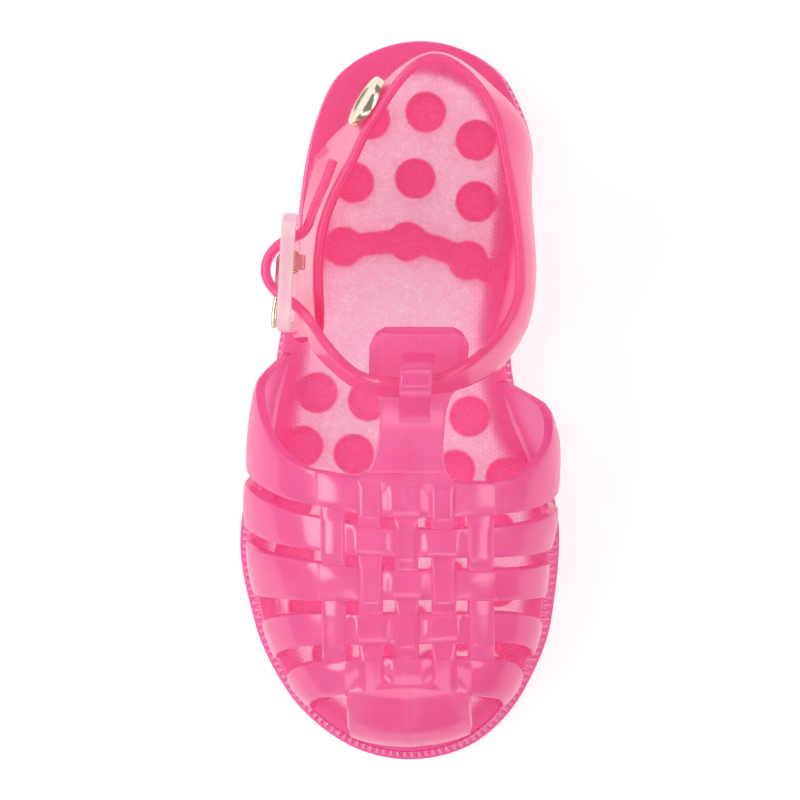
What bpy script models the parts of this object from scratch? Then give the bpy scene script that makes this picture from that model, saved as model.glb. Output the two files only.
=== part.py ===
"""Child's moulded jelly sandal, right foot.

Frame: +Z up, heel towards +Y, toe towards -Y, inner (medial) side towards +X, floor at z = 0.
All sizes below are in millimetres; MM turns them into metres when a mesh is made.
"""

import math
from collections import namedtuple

import bmesh
import bpy
import numpy as np
from mathutils import Matrix, Vector

MM = 0.001

# Fits and walls
GAP = 0.3
VAMP_WALL = 1.7
STRAND_RAISE = 0.9
QUARTER_WALL = 2.3

# Sole: plan half widths from a straight line between heel and toe tips, and heights
HEEL_TIP_X = 5.5
TOE_TIP_X = 2.5
SoleRow = namedtuple("SoleRow", "y lateral medial bottom top draft")
SOLE = [
    SoleRow(89.4, 0.0, 0.0, 1.4, 13.6, 0.8),
    SoleRow(78.0, 22.8, 22.4, 0.0, 13.3, 0.9),
    SoleRow(60.0, 28.5, 28.2, 0.0, 12.9, 1.1),
    SoleRow(37.5, 31.1, 26.9, 0.0, 12.2, 1.2),
    SoleRow(12.5, 34.6, 23.5, 2.2, 10.9, 1.4),
    SoleRow(-5.0, 37.4, 26.9, 1.2, 9.8, 2.0),
    SoleRow(-15.0, 40.5, 32.3, 0.0, 9.2, 2.4),
    SoleRow(-35.0, 43.4, 36.4, 0.0, 8.7, 2.7),
    SoleRow(-55.0, 39.6, 34.7, 0.0, 8.9, 2.8),
    SoleRow(-72.5, 31.0, 28.1, 1.4, 10.0, 2.8),
    SoleRow(-84.5, 17.6, 17.3, 4.4, 12.2, 2.6),
    SoleRow(-89.3, 0.0, 0.0, 5.8, 13.2, 2.5),
]
SIDE_STEPS = 38
RIBS_PER_STEP = 2
RIB_DEPTH = 0.6
RIB_FOOT = 1.6
RIB_HEAD = 1.3
GROUND_CHAMFER = 0.8
LIP_ROUND = 0.5
RIM_WIDTH = 6.2
PLATE = 1.8
CAVITY_DRAFT = 0.8
FOOTBED_FLAT = 7.0
FOOTBED_DISH = 0.9

# Lugs under the plate
LUG_RADIUS = 5.0
LUG_TIP_RADIUS = 4.5
LUG_SIDES = 10
LUG_ROOT = 1.2
HEEL_LUGS = [(-7.0, 69.5), (6.8, 71.2), (19.2, 64.2), (-11.0, 53.8), (4.2, 54.8), (19.2, 49.0)]
LugRow = namedtuple("LugRow", "x y count")
FRONT_LUGS = [
    LugRow(-20.2, 1.8, 4),
    LugRow(-23.8, -11.5, 5),
    LugRow(-26.3, -25.0, 5),
    LugRow(-26.0, -38.5, 5),
    LugRow(-22.5, -51.5, 5),
    LugRow(-16.5, -63.0, 4),
    LugRow(-3.0, -75.6, 2),
]
LUG_PITCH = 12.6
LUG_ROW_SLOPE = -0.155
CROSS_WALL = [(-24.5, 38.2), (-13.5, 38.0), (2.2, 39.2), (17.2, 34.5), (27.0, 29.0)]
CROSS_WALL_WIDTH = 6.0
CROSS_LUG_RADIUS = 5.0

# Last: the foot surface that the inside of the vamp lies on
LastRow = namedtuple("LastRow", "y axis half_width pinch_lateral pinch_medial ridge skew")
LAST = [
    LastRow(-83.2, 2.1, 0.0, 0.0, 0.0, 31.0, 0.0),
    LastRow(-79.5, 2.2, 16.2, 0.0, 0.0, 31.0, 0.2),
    LastRow(-74.9, 1.9, 21.8, 0.0, 0.0, 31.2, 0.4),
    LastRow(-70.0, 1.6, 26.2, 0.0, 0.0, 31.5, 0.8),
    LastRow(-55.0, 0.8, 32.6, 0.0, 0.0, 33.2, 1.6),
    LastRow(-40.0, -0.3, 35.4, 0.5, 0.0, 36.5, 2.4),
    LastRow(-24.5, 0.3, 37.4, 2.5, 3.2, 40.4, 2.6),
    LastRow(-12.0, 0.6, 37.2, 5.0, 7.4, 44.0, 3.2),
    LastRow(-4.0, -0.2, 35.9, 6.0, 8.6, 46.9, 4.4),
    LastRow(4.0, -1.4, 33.4, 6.5, 7.6, 51.4, 6.2),
    LastRow(18.5, 0.0, 28.0, 3.0, 3.0, 62.0, 6.8),
]
LAST_WIDEST_Y = -40.0
LAST_SIDE_POWER = 2.6
LAST_TOP_POWER = 2.2
PINCH_HEIGHT = 0.3

# Weave of the vamp: lengthwise strips, then the two edges of each cross band
STRIP_COUNT = 5
STRIP_MIDDLE_X = 3.1
STRIP_PITCH = 8.65
STRIP_WIDTH = 5.6
STRAND_BEVEL = 0.6
BandEdge = namedtuple("BandEdge", "lateral_foot lateral_strip middle medial_strip medial_foot")
BANDS = [
    (BandEdge(13.6, -16.8, -18.8, -19.4, 6.4), BandEdge(-14.6, -25.2, -27.9, -27.2, -20.8)),
    (BandEdge(-17.4, -28.0, -30.6, -30.2, -24.6), BandEdge(-29.4, -36.0, -37.4, -37.6, -35.6)),
    (BandEdge(-34.2, -38.9, -40.6, -40.6, -39.6), BandEdge(-47.6, -48.1, -47.7, -48.1, -48.4)),
    (BandEdge(-55.0, -51.3, -51.3, -51.1, -55.4), BandEdge(-63.6, -59.2, -58.7, -58.4, -63.2)),
    (BandEdge(-69.2, -63.1, -62.0, -62.4, -69.4), BandEdge(-75.2, -71.6, -68.9, -71.8, -74.8)),
]
SIDE_COLUMNS = 7
BAND_SIDE_LEVEL = 0.6
STRAND_UNDER_LEVEL = 0.25
CAP_ROWS = 7
CAP_LEVEL = 0.7

# Instep bar that runs up from the first band to a tab, and the belt loop over the strap
BarRow = namedtuple("BarRow", "y middle half_width")
INSTEP_BAR = [
    BarRow(-18.8, 3.2, 11.6),
    BarRow(-16.8, 3.4, 9.6),
    BarRow(-13.8, 3.9, 8.3),
    BarRow(-9.0, 4.4, 7.7),
    BarRow(-3.0, 5.0, 7.6),
    BarRow(2.0, 5.5, 8.4),
    BarRow(5.0, 5.9, 10.4),
    BarRow(8.0, 6.3, 11.0),
    BarRow(13.5, 6.7, 11.0),
    BarRow(15.8, 6.9, 10.2),
    BarRow(17.2, 6.9, 8.0),
]
BAR_LEVEL = 0.7
LOOP_WIDTH = 7.5
LOOP_THICK = 1.6
LoopRow = namedtuple("LoopRow", "x y z")
BELT_LOOP = [
    LoopRow(6.9, 11.2, 57.2),
    LoopRow(6.8, 10.0, 60.6),
    LoopRow(6.7, 8.5, 65.2),
    LoopRow(6.6, 6.7, 68.1),
    LoopRow(6.4, 4.0, 68.6),
    LoopRow(6.2, 1.7, 66.4),
    LoopRow(6.0, -0.1, 61.0),
    LoopRow(5.7, -1.6, 55.4),
    LoopRow(5.5, -3.4, 51.2),
    LoopRow(5.3, -6.0, 46.8),
]

# Quarters and ankle strap: one ribbon from the outer side panel round the heel to the strap tip.
# A lower edge stated below the footbed stands on the sole.
RibbonRow = namedtuple("RibbonRow", "top_x top_y top_z low_x low_y low_z bulge")
RIBBON = [
    RibbonRow(-17.8, 15.6, 38.0, -24.6, 14.6, 18.0, 0.0),
    RibbonRow(-17.2, 19.2, 44.0, -26.2, 18.6, 5.0, 0.0),
    RibbonRow(-17.4, 28.6, 48.4, -24.8, 28.6, 5.0, 0.0),
    RibbonRow(-16.8, 38.0, 49.4, -23.4, 38.5, 5.0, 0.0),
    RibbonRow(-13.9, 47.5, 50.2, -21.9, 49.0, 5.0, 0.0),
    RibbonRow(-9.0, 56.9, 51.6, -20.3, 57.6, 5.0, 0.0),
    RibbonRow(-6.8, 61.6, 52.3, -16.9, 62.6, 18.0, 0.0),
    RibbonRow(-4.0, 66.2, 53.0, -8.6, 67.9, 36.0, 0.0),
    RibbonRow(1.2, 74.1, 55.0, -1.4, 75.7, 42.0, 0.0),
    RibbonRow(9.9, 80.7, 56.3, 9.6, 82.2, 44.0, 0.0),
    RibbonRow(21.4, 73.0, 55.0, 23.4, 74.4, 42.0, 0.0),
    RibbonRow(25.2, 63.9, 53.5, 30.8, 65.8, 32.0, 1.6),
    RibbonRow(26.3, 58.5, 52.6, 31.4, 59.8, 17.0, 2.6),
    RibbonRow(27.2, 54.0, 52.0, 30.2, 54.6, 5.0, 3.2),
    RibbonRow(28.8, 45.1, 51.0, 29.4, 45.1, 5.0, 3.2),
    RibbonRow(29.9, 35.6, 50.6, 28.2, 35.2, 5.0, 4.0),
    RibbonRow(30.0, 26.1, 51.2, 26.6, 25.2, 5.0, 4.4),
    RibbonRow(28.0, 20.0, 53.0, 25.2, 16.4, 5.0, 4.4),
    RibbonRow(24.6, 14.6, 56.4, 26.0, 9.8, 32.0, 1.6),
    RibbonRow(20.6, 10.6, 61.0, 21.6, 5.4, 49.4, 0.0),
    RibbonRow(14.2, 6.4, 65.0, 14.8, 2.8, 55.6, 0.0),
    RibbonRow(7.6, 4.8, 66.4, 7.6, 1.8, 56.9, 0.0),
    RibbonRow(0.6, 4.5, 66.0, 0.4, 1.5, 56.6, 0.0),
    RibbonRow(-6.0, 5.7, 63.6, -6.6, 2.6, 54.4, 0.0),
    RibbonRow(-11.9, 9.9, 59.0, -13.2, 7.0, 49.8, 0.0),
    RibbonRow(-16.2, 15.0, 55.6, -18.6, 13.0, 46.4, 0.0),
    RibbonRow(-19.0, 18.6, 52.6, -20.2, 17.8, 43.2, 0.0),
    RibbonRow(-23.0, 22.8, 51.2, -23.6, 22.6, 41.8, 0.0),
    RibbonRow(-27.8, 26.2, 50.4, -28.2, 26.0, 40.9, 0.0),
    RibbonRow(-30.1, 30.4, 50.0, -30.5, 30.4, 40.5, 0.0),
    RibbonRow(-28.9, 34.9, 49.8, -29.3, 34.9, 40.3, 0.0),
    RibbonRow(-25.0, 38.2, 49.6, -25.6, 38.2, 40.1, 0.0),
    RibbonRow(-20.6, 40.6, 49.4, -21.2, 40.8, 39.9, 0.0),
    RibbonRow(-18.9, 44.2, 49.2, -20.8, 44.8, 39.8, 0.0),
    RibbonRow(-16.3, 50.2, 48.9, -19.4, 50.8, 39.6, 0.0),
    RibbonRow(-13.6, 57.1, 48.2, -17.6, 57.7, 39.0, 0.0),
]
RIBBON_STATION = 3.2
KNOT_WEIGHT = (1.0, 1.0, 0.35)
RIBBON_ACROSS = (0.0, 0.18, 0.36, 0.64, 0.82, 1.0)
PRONG_HOLE_ROW = 27.7
PRONG_HOLE_LENGTH = 8.0
HOLE_COLUMN = 2

# Buckle on the outer side panel
BUCKLE_MIDDLE = (-24.9, 30.4, 45.2)
BUCKLE_TURN = math.radians(-3.0)
FRAME_LENGTH = 28.4
FRAME_HEIGHT = 19.6
FRAME_THICK = 3.4
FRAME_CORNER = 5.0
FRAME_BAR = 2.7
FRAME_EDGE = 0.5
FRAME_CORNER_STEPS = 5
MIDDLE_BAR_AT = 2.6
MIDDLE_BAR_RADIUS = 1.2
BASE_LENGTH = 9.6
BASE_HEIGHT = 10.4
BASE_DROP = 1.2
BASE_FACE = 6.0
BASE_LEAN = 0.19
BASE_PLATE = 2.5
EAR_LENGTH = 3.6
EAR_HEIGHT = 2.2
PRONG_RADIUS = 0.8
PRONG_LIFT = 0.4
PRONG_TIP_AT = 13.4
PRONG_SIDES = 8
PRONG_TURN = 250.0
PRONG_TURN_STEPS = 12

# Stud on the heel strap
STUD_ROW = 7.4
STUD_RADIUS = 6.6
STUD_RIM = 1.1
STUD_HEIGHT = 2.2
STUD_FACE_DROP = 0.5
STUD_SIDES = 24

JELLY_PINK = (0.91, 0.13, 0.33, 1.0)
CLEAR_PINK = (0.93, 0.60, 0.66, 1.0)
PALE_GOLD = (0.78, 0.67, 0.40, 1.0)


class Profile:
    """One column of a table as a smooth curve that doesn't overshoot its rows."""

    def __init__(self, at, values):
        order = np.argsort(at)
        self.at = np.array(at, float)[order]
        self.values = np.array(values, float)[order]
        step = np.diff(self.at)
        rise = np.diff(self.values) / step
        slope = np.zeros_like(self.values)
        for i in range(1, len(slope) - 1):
            if rise[i - 1] * rise[i] > 0:
                before = 2 * step[i] + step[i - 1]
                after = step[i] + 2 * step[i - 1]
                slope[i] = (before + after) / (before / rise[i - 1] + after / rise[i])
        slope[0] = 1.5 * rise[0] - 0.5 * slope[1]
        slope[-1] = 1.5 * rise[-1] - 0.5 * slope[-2]
        self.slope = slope

    def __call__(self, at):
        at = np.clip(at, self.at[0], self.at[-1])
        i = np.clip(np.searchsorted(self.at, at) - 1, 0, len(self.at) - 2)
        step = self.at[i + 1] - self.at[i]
        t = (at - self.at[i]) / step
        return (
            self.values[i] * (1 + 2 * t) * (1 - t) ** 2
            + self.slope[i] * step * t * (1 - t) ** 2
            + self.values[i + 1] * t * t * (3 - 2 * t)
            + self.slope[i + 1] * step * t * t * (t - 1)
        )


def profile(table, field, power=1):
    """A table column against its first column, raised to a power."""
    return Profile([row.y for row in table], [getattr(row, field) ** power for row in table])


def natural_curve(knots, values, at):
    """Natural cubic curve through rows of values at rising knots."""
    count = len(knots)
    step = np.diff(knots)
    system = np.eye(count)
    right = np.zeros_like(values)
    for i in range(1, count - 1):
        system[i, i - 1 : i + 2] = step[i - 1], 2 * (step[i - 1] + step[i]), step[i]
        right[i] = 6 * ((values[i + 1] - values[i]) / step[i] - (values[i] - values[i - 1]) / step[i - 1])
    bend = np.linalg.solve(system, right)
    i = np.clip(np.searchsorted(knots, at) - 1, 0, count - 2)
    h = step[i][:, None]
    a = (knots[i + 1] - at)[:, None]
    b = (at - knots[i])[:, None]
    return (
        bend[i] * a**3 / (6 * h)
        + bend[i + 1] * b**3 / (6 * h)
        + (values[i] / h - bend[i] * h / 6) * a
        + (values[i + 1] / h - bend[i + 1] * h / 6) * b
    )


def unit(vectors):
    """Vectors of length one along the last axis."""
    return vectors / np.linalg.norm(vectors, axis=-1, keepdims=True)


class Body:
    """Points and faces of one solid, in millimetres."""

    def __init__(self):
        self.points = []
        self.faces = []

    def ring(self, points):
        """Adds points and returns their numbers."""
        first = len(self.points)
        self.points.extend(tuple(p) for p in points)
        return list(range(first, len(self.points)))

    def band(self, low, high):
        """Joins two closed rings of equal length."""
        count = len(low)
        for i in range(count):
            j = (i + 1) % count
            self.faces.append((low[i], low[j], high[j], high[i]))

    def fan_band(self, coarse, fine):
        """Joins a closed ring to one that has a whole number of points for each of its own."""
        each = len(fine) // len(coarse)
        middle = each // 2
        for i, here in enumerate(coarse):
            there = coarse[(i + 1) % len(coarse)]
            arc = [fine[(i * each + k) % len(fine)] for k in range(each + 1)]
            for k in range(each):
                self.faces.append((here if k < middle else there, arc[k + 1], arc[k]))
            self.faces.append((here, there, arc[middle]))

    def cap(self, ring):
        """Closes a ring with one flat face."""
        self.faces.append(tuple(ring))

    def mesh(self, name):
        """A triangulated mesh in metres with its faces turned outwards."""
        data = bpy.data.meshes.new(name)
        data.from_pydata([[c * MM for c in p] for p in self.points], [], self.faces)
        edit = bmesh.new()
        edit.from_mesh(data)
        bmesh.ops.recalc_face_normals(edit, faces=edit.faces)
        bmesh.ops.triangulate(edit, faces=edit.faces)
        edit.to_mesh(data)
        edit.free()
        return data


def material(name, colour, metallic, roughness):
    """A Principled material."""
    made = bpy.data.materials.new(name)
    made.use_nodes = True
    shader = made.node_tree.nodes["Principled BSDF"]
    shader.inputs["Base Color"].default_value = colour
    shader.inputs["Metallic"].default_value = metallic
    shader.inputs["Roughness"].default_value = roughness
    made.diffuse_color = colour
    return made


def put(name, data, finish):
    """Adds a mesh to the scene as one named sub-part."""
    item = bpy.data.objects.new(name, data)
    item.data.materials.clear()
    item.data.materials.append(finish)
    bpy.context.scene.collection.objects.link(item)
    return item


def merge(item, extra):
    """Joins an overlapping mesh to a sub-part as one solid."""
    helper = bpy.data.objects.new(item.name + "_extra", extra)
    bpy.context.scene.collection.objects.link(helper)
    step = item.modifiers.new("join", "BOOLEAN")
    step.operation = "UNION"
    step.solver = "EXACT"
    step.object = helper
    graph = bpy.context.evaluated_depsgraph_get()
    joined = bpy.data.meshes.new_from_object(item.evaluated_get(graph))
    item.modifiers.clear()
    item.data = joined
    bpy.data.objects.remove(helper)


SOLE_BOTTOM = profile(SOLE, "bottom")
SOLE_TOP = profile(SOLE, "top")
SOLE_DRAFT = profile(SOLE, "draft")
SOLE_REACH = {"lateral": profile(SOLE, "lateral", 2), "medial": profile(SOLE, "medial", 2)}
SIDE_SIGN = {"lateral": -1.0, "medial": 1.0}


def sole_line_x(y):
    """The straight line between heel tip and toe tip."""
    part = (SOLE[0].y - y) / (SOLE[0].y - SOLE[-1].y)
    return HEEL_TIP_X + (TOE_TIP_X - HEEL_TIP_X) * part


def side_outline(side, steps):
    """Points evenly spaced along one side of the sole, heel tip to toe tip."""
    turn = np.linspace(0.0, math.pi, 800)
    middle = (SOLE[0].y + SOLE[-1].y) / 2
    y = middle + (SOLE[0].y - middle) * np.cos(turn)
    x = sole_line_x(y) + SIDE_SIGN[side] * np.sqrt(np.maximum(SOLE_REACH[side](y), 0.0))
    run = np.concatenate([[0.0], np.cumsum(np.hypot(np.diff(x), np.diff(y)))])
    at = np.linspace(0.0, run[-1], steps + 1)
    return np.stack([np.interp(at, run, x), np.interp(at, run, y)], axis=1)


def sole_loop(steps):
    """Closed plan outline and its inward directions: outer side to the toe, then back."""
    outer = side_outline("lateral", steps)
    inner = side_outline("medial", steps)
    loop = np.concatenate([outer, inner[-2:0:-1]])
    along = unit(np.roll(loop, -1, axis=0) - np.roll(loop, 1, axis=0))
    return loop, np.stack([-along[:, 1], along[:, 0]], axis=1)


def sole_ring(loop, inward, inset, height, lift):
    """A ring of points set in from the outline, at a lift above a height profile."""
    plan = loop + inward * np.broadcast_to(inset, len(loop))[:, None]
    return np.column_stack([plan, height(plan[:, 1]) + lift])


def fill_between(body, ring, height, columns):
    """Closes a ring with rows of faces from its outer side to its inner side."""
    half = len(ring) // 2
    rows = [[ring[0]]]
    for i in range(1, half):
        a = np.array(body.points[ring[i]])
        b = np.array(body.points[ring[-i]])
        inside = []
        for k in range(1, columns):
            part = k / columns
            spot = a + (b - a) * part
            spot[2] = height(spot, part)
            inside.append(spot)
        rows.append([ring[i]] + body.ring(inside) + [ring[-i]])
    rows.append([ring[half]])
    for upper, lower in zip(rows[:-1], rows[1:]):
        for k in range(columns):
            corners = [
                upper[min(k, len(upper) - 1)],
                upper[min(k + 1, len(upper) - 1)],
                lower[min(k + 1, len(lower) - 1)],
                lower[min(k, len(lower) - 1)],
            ]
            face = tuple(dict.fromkeys(corners))
            if len(face) > 2:
                body.faces.append(face)


def sole_shell():
    """Rim, ribbed side, footbed and the thin plate over the hollow underside."""
    body = Body()
    loop, inward = sole_loop(SIDE_STEPS)
    draft = SOLE_DRAFT(loop[:, 1])
    fine_loop, fine_inward = sole_loop(SIDE_STEPS * RIBS_PER_STEP * 2)
    fine_y = fine_loop[:, 1]
    thick = SOLE_TOP(fine_y) - SOLE_BOTTOM(fine_y)
    groove = np.where(np.arange(len(fine_y)) % 2 == 0, 0.0, RIB_DEPTH)
    foot_inset = SOLE_DRAFT(fine_y) * RIB_FOOT / thick + groove
    head_inset = SOLE_DRAFT(fine_y) * (1 - RIB_HEAD / thick) + groove

    def ring(inset, height, lift):
        return body.ring(sole_ring(loop, inward, inset, height, lift))

    ground = ring(GROUND_CHAMFER, SOLE_BOTTOM, 0.0)
    edge = ring(0.0, SOLE_BOTTOM, GROUND_CHAMFER)
    rib_foot = body.ring(sole_ring(fine_loop, fine_inward, foot_inset, SOLE_BOTTOM, RIB_FOOT))
    rib_head = body.ring(sole_ring(fine_loop, fine_inward, head_inset, SOLE_TOP, -RIB_HEAD))
    lip = ring(draft, SOLE_TOP, -LIP_ROUND)
    shelf = ring(draft + LIP_ROUND, SOLE_TOP, 0.0)
    flat = ring(FOOTBED_FLAT, SOLE_TOP, 0.0)
    body.band(ground, edge)
    body.fan_band(edge, rib_foot)
    body.band(rib_foot, rib_head)
    body.fan_band(lip, rib_head)
    body.band(lip, shelf)
    body.band(shelf, flat)

    def dished(spot, part):
        return SOLE_TOP(spot[1]) - FOOTBED_DISH * 4 * part * (1 - part)

    fill_between(body, flat, dished, 6)
    rim = ring(RIM_WIDTH, SOLE_BOTTOM, 0.0)
    ceiling = ring(RIM_WIDTH + CAVITY_DRAFT, SOLE_TOP, -PLATE)
    body.band(ground, rim)
    body.band(rim, ceiling)
    fill_between(body, ceiling, lambda spot, part: dished(spot, part) - PLATE, 4)
    return body.mesh("sole")


def lug_mesh():
    """Round lugs from the plate down to the ground line."""
    body = Body()
    spots = list(HEEL_LUGS)
    for row in FRONT_LUGS:
        spots += [(row.x + LUG_PITCH * k, row.y + LUG_ROW_SLOPE * LUG_PITCH * k) for k in range(row.count)]
    for x, y in spots:
        low = float(SOLE_BOTTOM(y))
        high = float(SOLE_TOP(y)) - PLATE - FOOTBED_DISH + LUG_ROOT
        turn = np.arange(LUG_SIDES) * 2 * math.pi / LUG_SIDES
        rings = []
        for radius, z in ((LUG_TIP_RADIUS, low), (LUG_RADIUS, high)):
            rings.append(
                body.ring([(x + radius * math.cos(a), y + radius * math.sin(a), z) for a in turn])
            )
        body.band(*rings)
        body.cap(rings[0])
        body.cap(rings[1])
    return body.mesh("lugs")


def cross_wall_mesh():
    """Upright wall across the front of the heel, swelling where three lugs stand in it."""
    body = Body()
    line = np.array(CROSS_WALL)
    knots = np.concatenate([[0.0], np.cumsum(np.hypot(*np.diff(line, axis=0).T))])
    at = np.linspace(0.0, knots[-1], 25)
    path = natural_curve(knots, line, at)
    along = unit(np.gradient(path, axis=0))
    side = np.stack([-along[:, 1], along[:, 0]], axis=1)
    swell = np.zeros_like(at)
    for centre in knots[1:-1]:
        swell = np.maximum(swell, np.sqrt(np.maximum(CROSS_LUG_RADIUS**2 - (at - centre) ** 2, 0.0)))
    half = np.maximum(swell, CROSS_WALL_WIDTH / 2)[:, None]
    plan = np.concatenate([path + side * half, (path - side * half)[::-1]])
    low = body.ring([(x, y, 0.0) for x, y in plan])
    high = body.ring([(x, y, float(SOLE_TOP(y)) - PLATE - FOOTBED_DISH + LUG_ROOT) for x, y in plan])
    body.band(low, high)
    count = len(at)
    for ring in (low, high):
        for i in range(count - 1):
            body.faces.append((ring[i], ring[i + 1], ring[2 * count - 2 - i], ring[2 * count - 1 - i]))
    return body.mesh("cross_wall")


class Last:
    """Foot surface between the sole and the vamp, as sections that close round the toe."""

    def __init__(self):
        self.axis = profile(LAST, "axis")
        self.width_squared = profile(LAST, "half_width", 2)
        self.pinch = {-1: profile(LAST, "pinch_lateral"), 1: profile(LAST, "pinch_medial")}
        self.ridge = profile(LAST, "ridge")
        self.skew = profile(LAST, "skew")
        self.widest = float(self.width_squared(LAST_WIDEST_Y))
        self.front_y = np.linspace(LAST[0].y, LAST_WIDEST_Y, 400)
        self.front_squared = self.width_squared(self.front_y)

    def toe_part(self, y):
        """Squared share of the radius that the rounding of the toe takes at y."""
        return max(0.0, 1 - float(self.width_squared(y)) / self.widest) if y < LAST_WIDEST_Y else 0.0

    def width(self, y, side, rise):
        """Half width at a share of the height, drawn in towards the sole at the waist."""
        full = math.sqrt(self.widest if y < LAST_WIDEST_Y else float(self.width_squared(y)))
        t = min(max(rise / PINCH_HEIGHT, 0.0), 1.0)
        return full - float(self.pinch[side](y)) * (1 - t * t * (3 - 2 * t))

    def middle(self, y, rise):
        """Middle of a section at a share of its height."""
        return float(self.axis(y)) + float(self.skew(y)) * rise

    def height(self, y, rise):
        """Height for a share of the section's height."""
        low = float(SOLE_TOP(y))
        return low + (float(self.ridge(y)) - low) * rise

    def radius(self, x, y, rise):
        """Section radius of a place: 0 on the ridge line, 1 at the foot line."""
        off = x - self.middle(y, rise)
        side = -1 if off < 0 else 1
        return math.sqrt((off / self.width(y, side, rise)) ** 2 + self.toe_part(y))

    def rise_at(self, radius):
        """Share of the height at a section radius."""
        return max(0.0, 1 - min(radius, 1.0) ** LAST_SIDE_POWER) ** (1 / LAST_TOP_POWER)

    def over(self, x, y):
        """Surface point above a plan position, with its radius."""
        rise = 1.0
        for _ in range(12):
            radius = self.radius(x, y, rise)
            rise = self.rise_at(radius)
        return np.array([x, y, self.height(y, rise)]), radius

    def angle(self, radius):
        """Section angle of a radius: a quarter turn at the foot line."""
        return math.asin(min(radius, 1.0) ** (LAST_SIDE_POWER / 2))

    def at_angle(self, turn):
        """Radius and share of height at a section angle."""
        radius = math.sin(turn) ** (2 / LAST_SIDE_POWER)
        return radius, max(math.cos(turn), 0.0) ** (2 / LAST_TOP_POWER)

    def down_side(self, y, side, turn):
        """Surface point on one side at a section angle."""
        radius, rise = self.at_angle(turn)
        reach = math.sqrt(max(radius**2 - self.toe_part(y), 0.0))
        x = self.middle(y, rise) + side * reach * self.width(y, side, rise)
        return np.array([x, y, self.height(y, rise)])

    def down_front(self, x, turn):
        """Surface point on the toe at a section angle, straight ahead of x."""
        radius, rise = self.at_angle(turn)
        y = LAST_WIDEST_Y
        for _ in range(12):
            off = x - self.middle(y, rise)
            share = max(radius**2 - (off / math.sqrt(self.widest)) ** 2, 0.0)
            y = float(np.interp(self.widest * (1 - share), self.front_squared, self.front_y))
        return np.array([x, y, self.height(y, rise)])

    def level(self, spot):
        """Signed measure that is zero on the surface."""
        x, y, z = spot
        low = float(SOLE_TOP(y))
        rise = (z - low) / (float(self.ridge(y)) - low)
        return self.radius(x, y, rise) ** LAST_SIDE_POWER + max(rise, 0.0) ** LAST_TOP_POWER - 1

    def outward(self, spot):
        """Outward direction of the surface."""
        reach = 0.05
        slope = []
        for axis in range(3):
            step = np.zeros(3)
            step[axis] = reach
            slope.append(self.level(spot + step) - self.level(spot - step))
        return unit(np.array(slope))


def strip_lines():
    """Plan offsets of the strip edges and bevels from the middle strip, with their strip and level."""
    lines = []
    for i in range(STRIP_COUNT):
        middle = (i - (STRIP_COUNT - 1) / 2) * STRIP_PITCH
        half = STRIP_WIDTH / 2
        for offset, raised in ((-half, 0), (-half + STRAND_BEVEL, 1), (half - STRAND_BEVEL, 1), (half, 0)):
            lines.append((middle + offset, i, raised))
    return lines


def band_curve(edge):
    """A band edge as a curve across the vamp: -2 and 2 at the sole, -1 and 1 at the outer strips."""
    return Profile([-2, -1, 0, 1, 2], list(edge))


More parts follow.
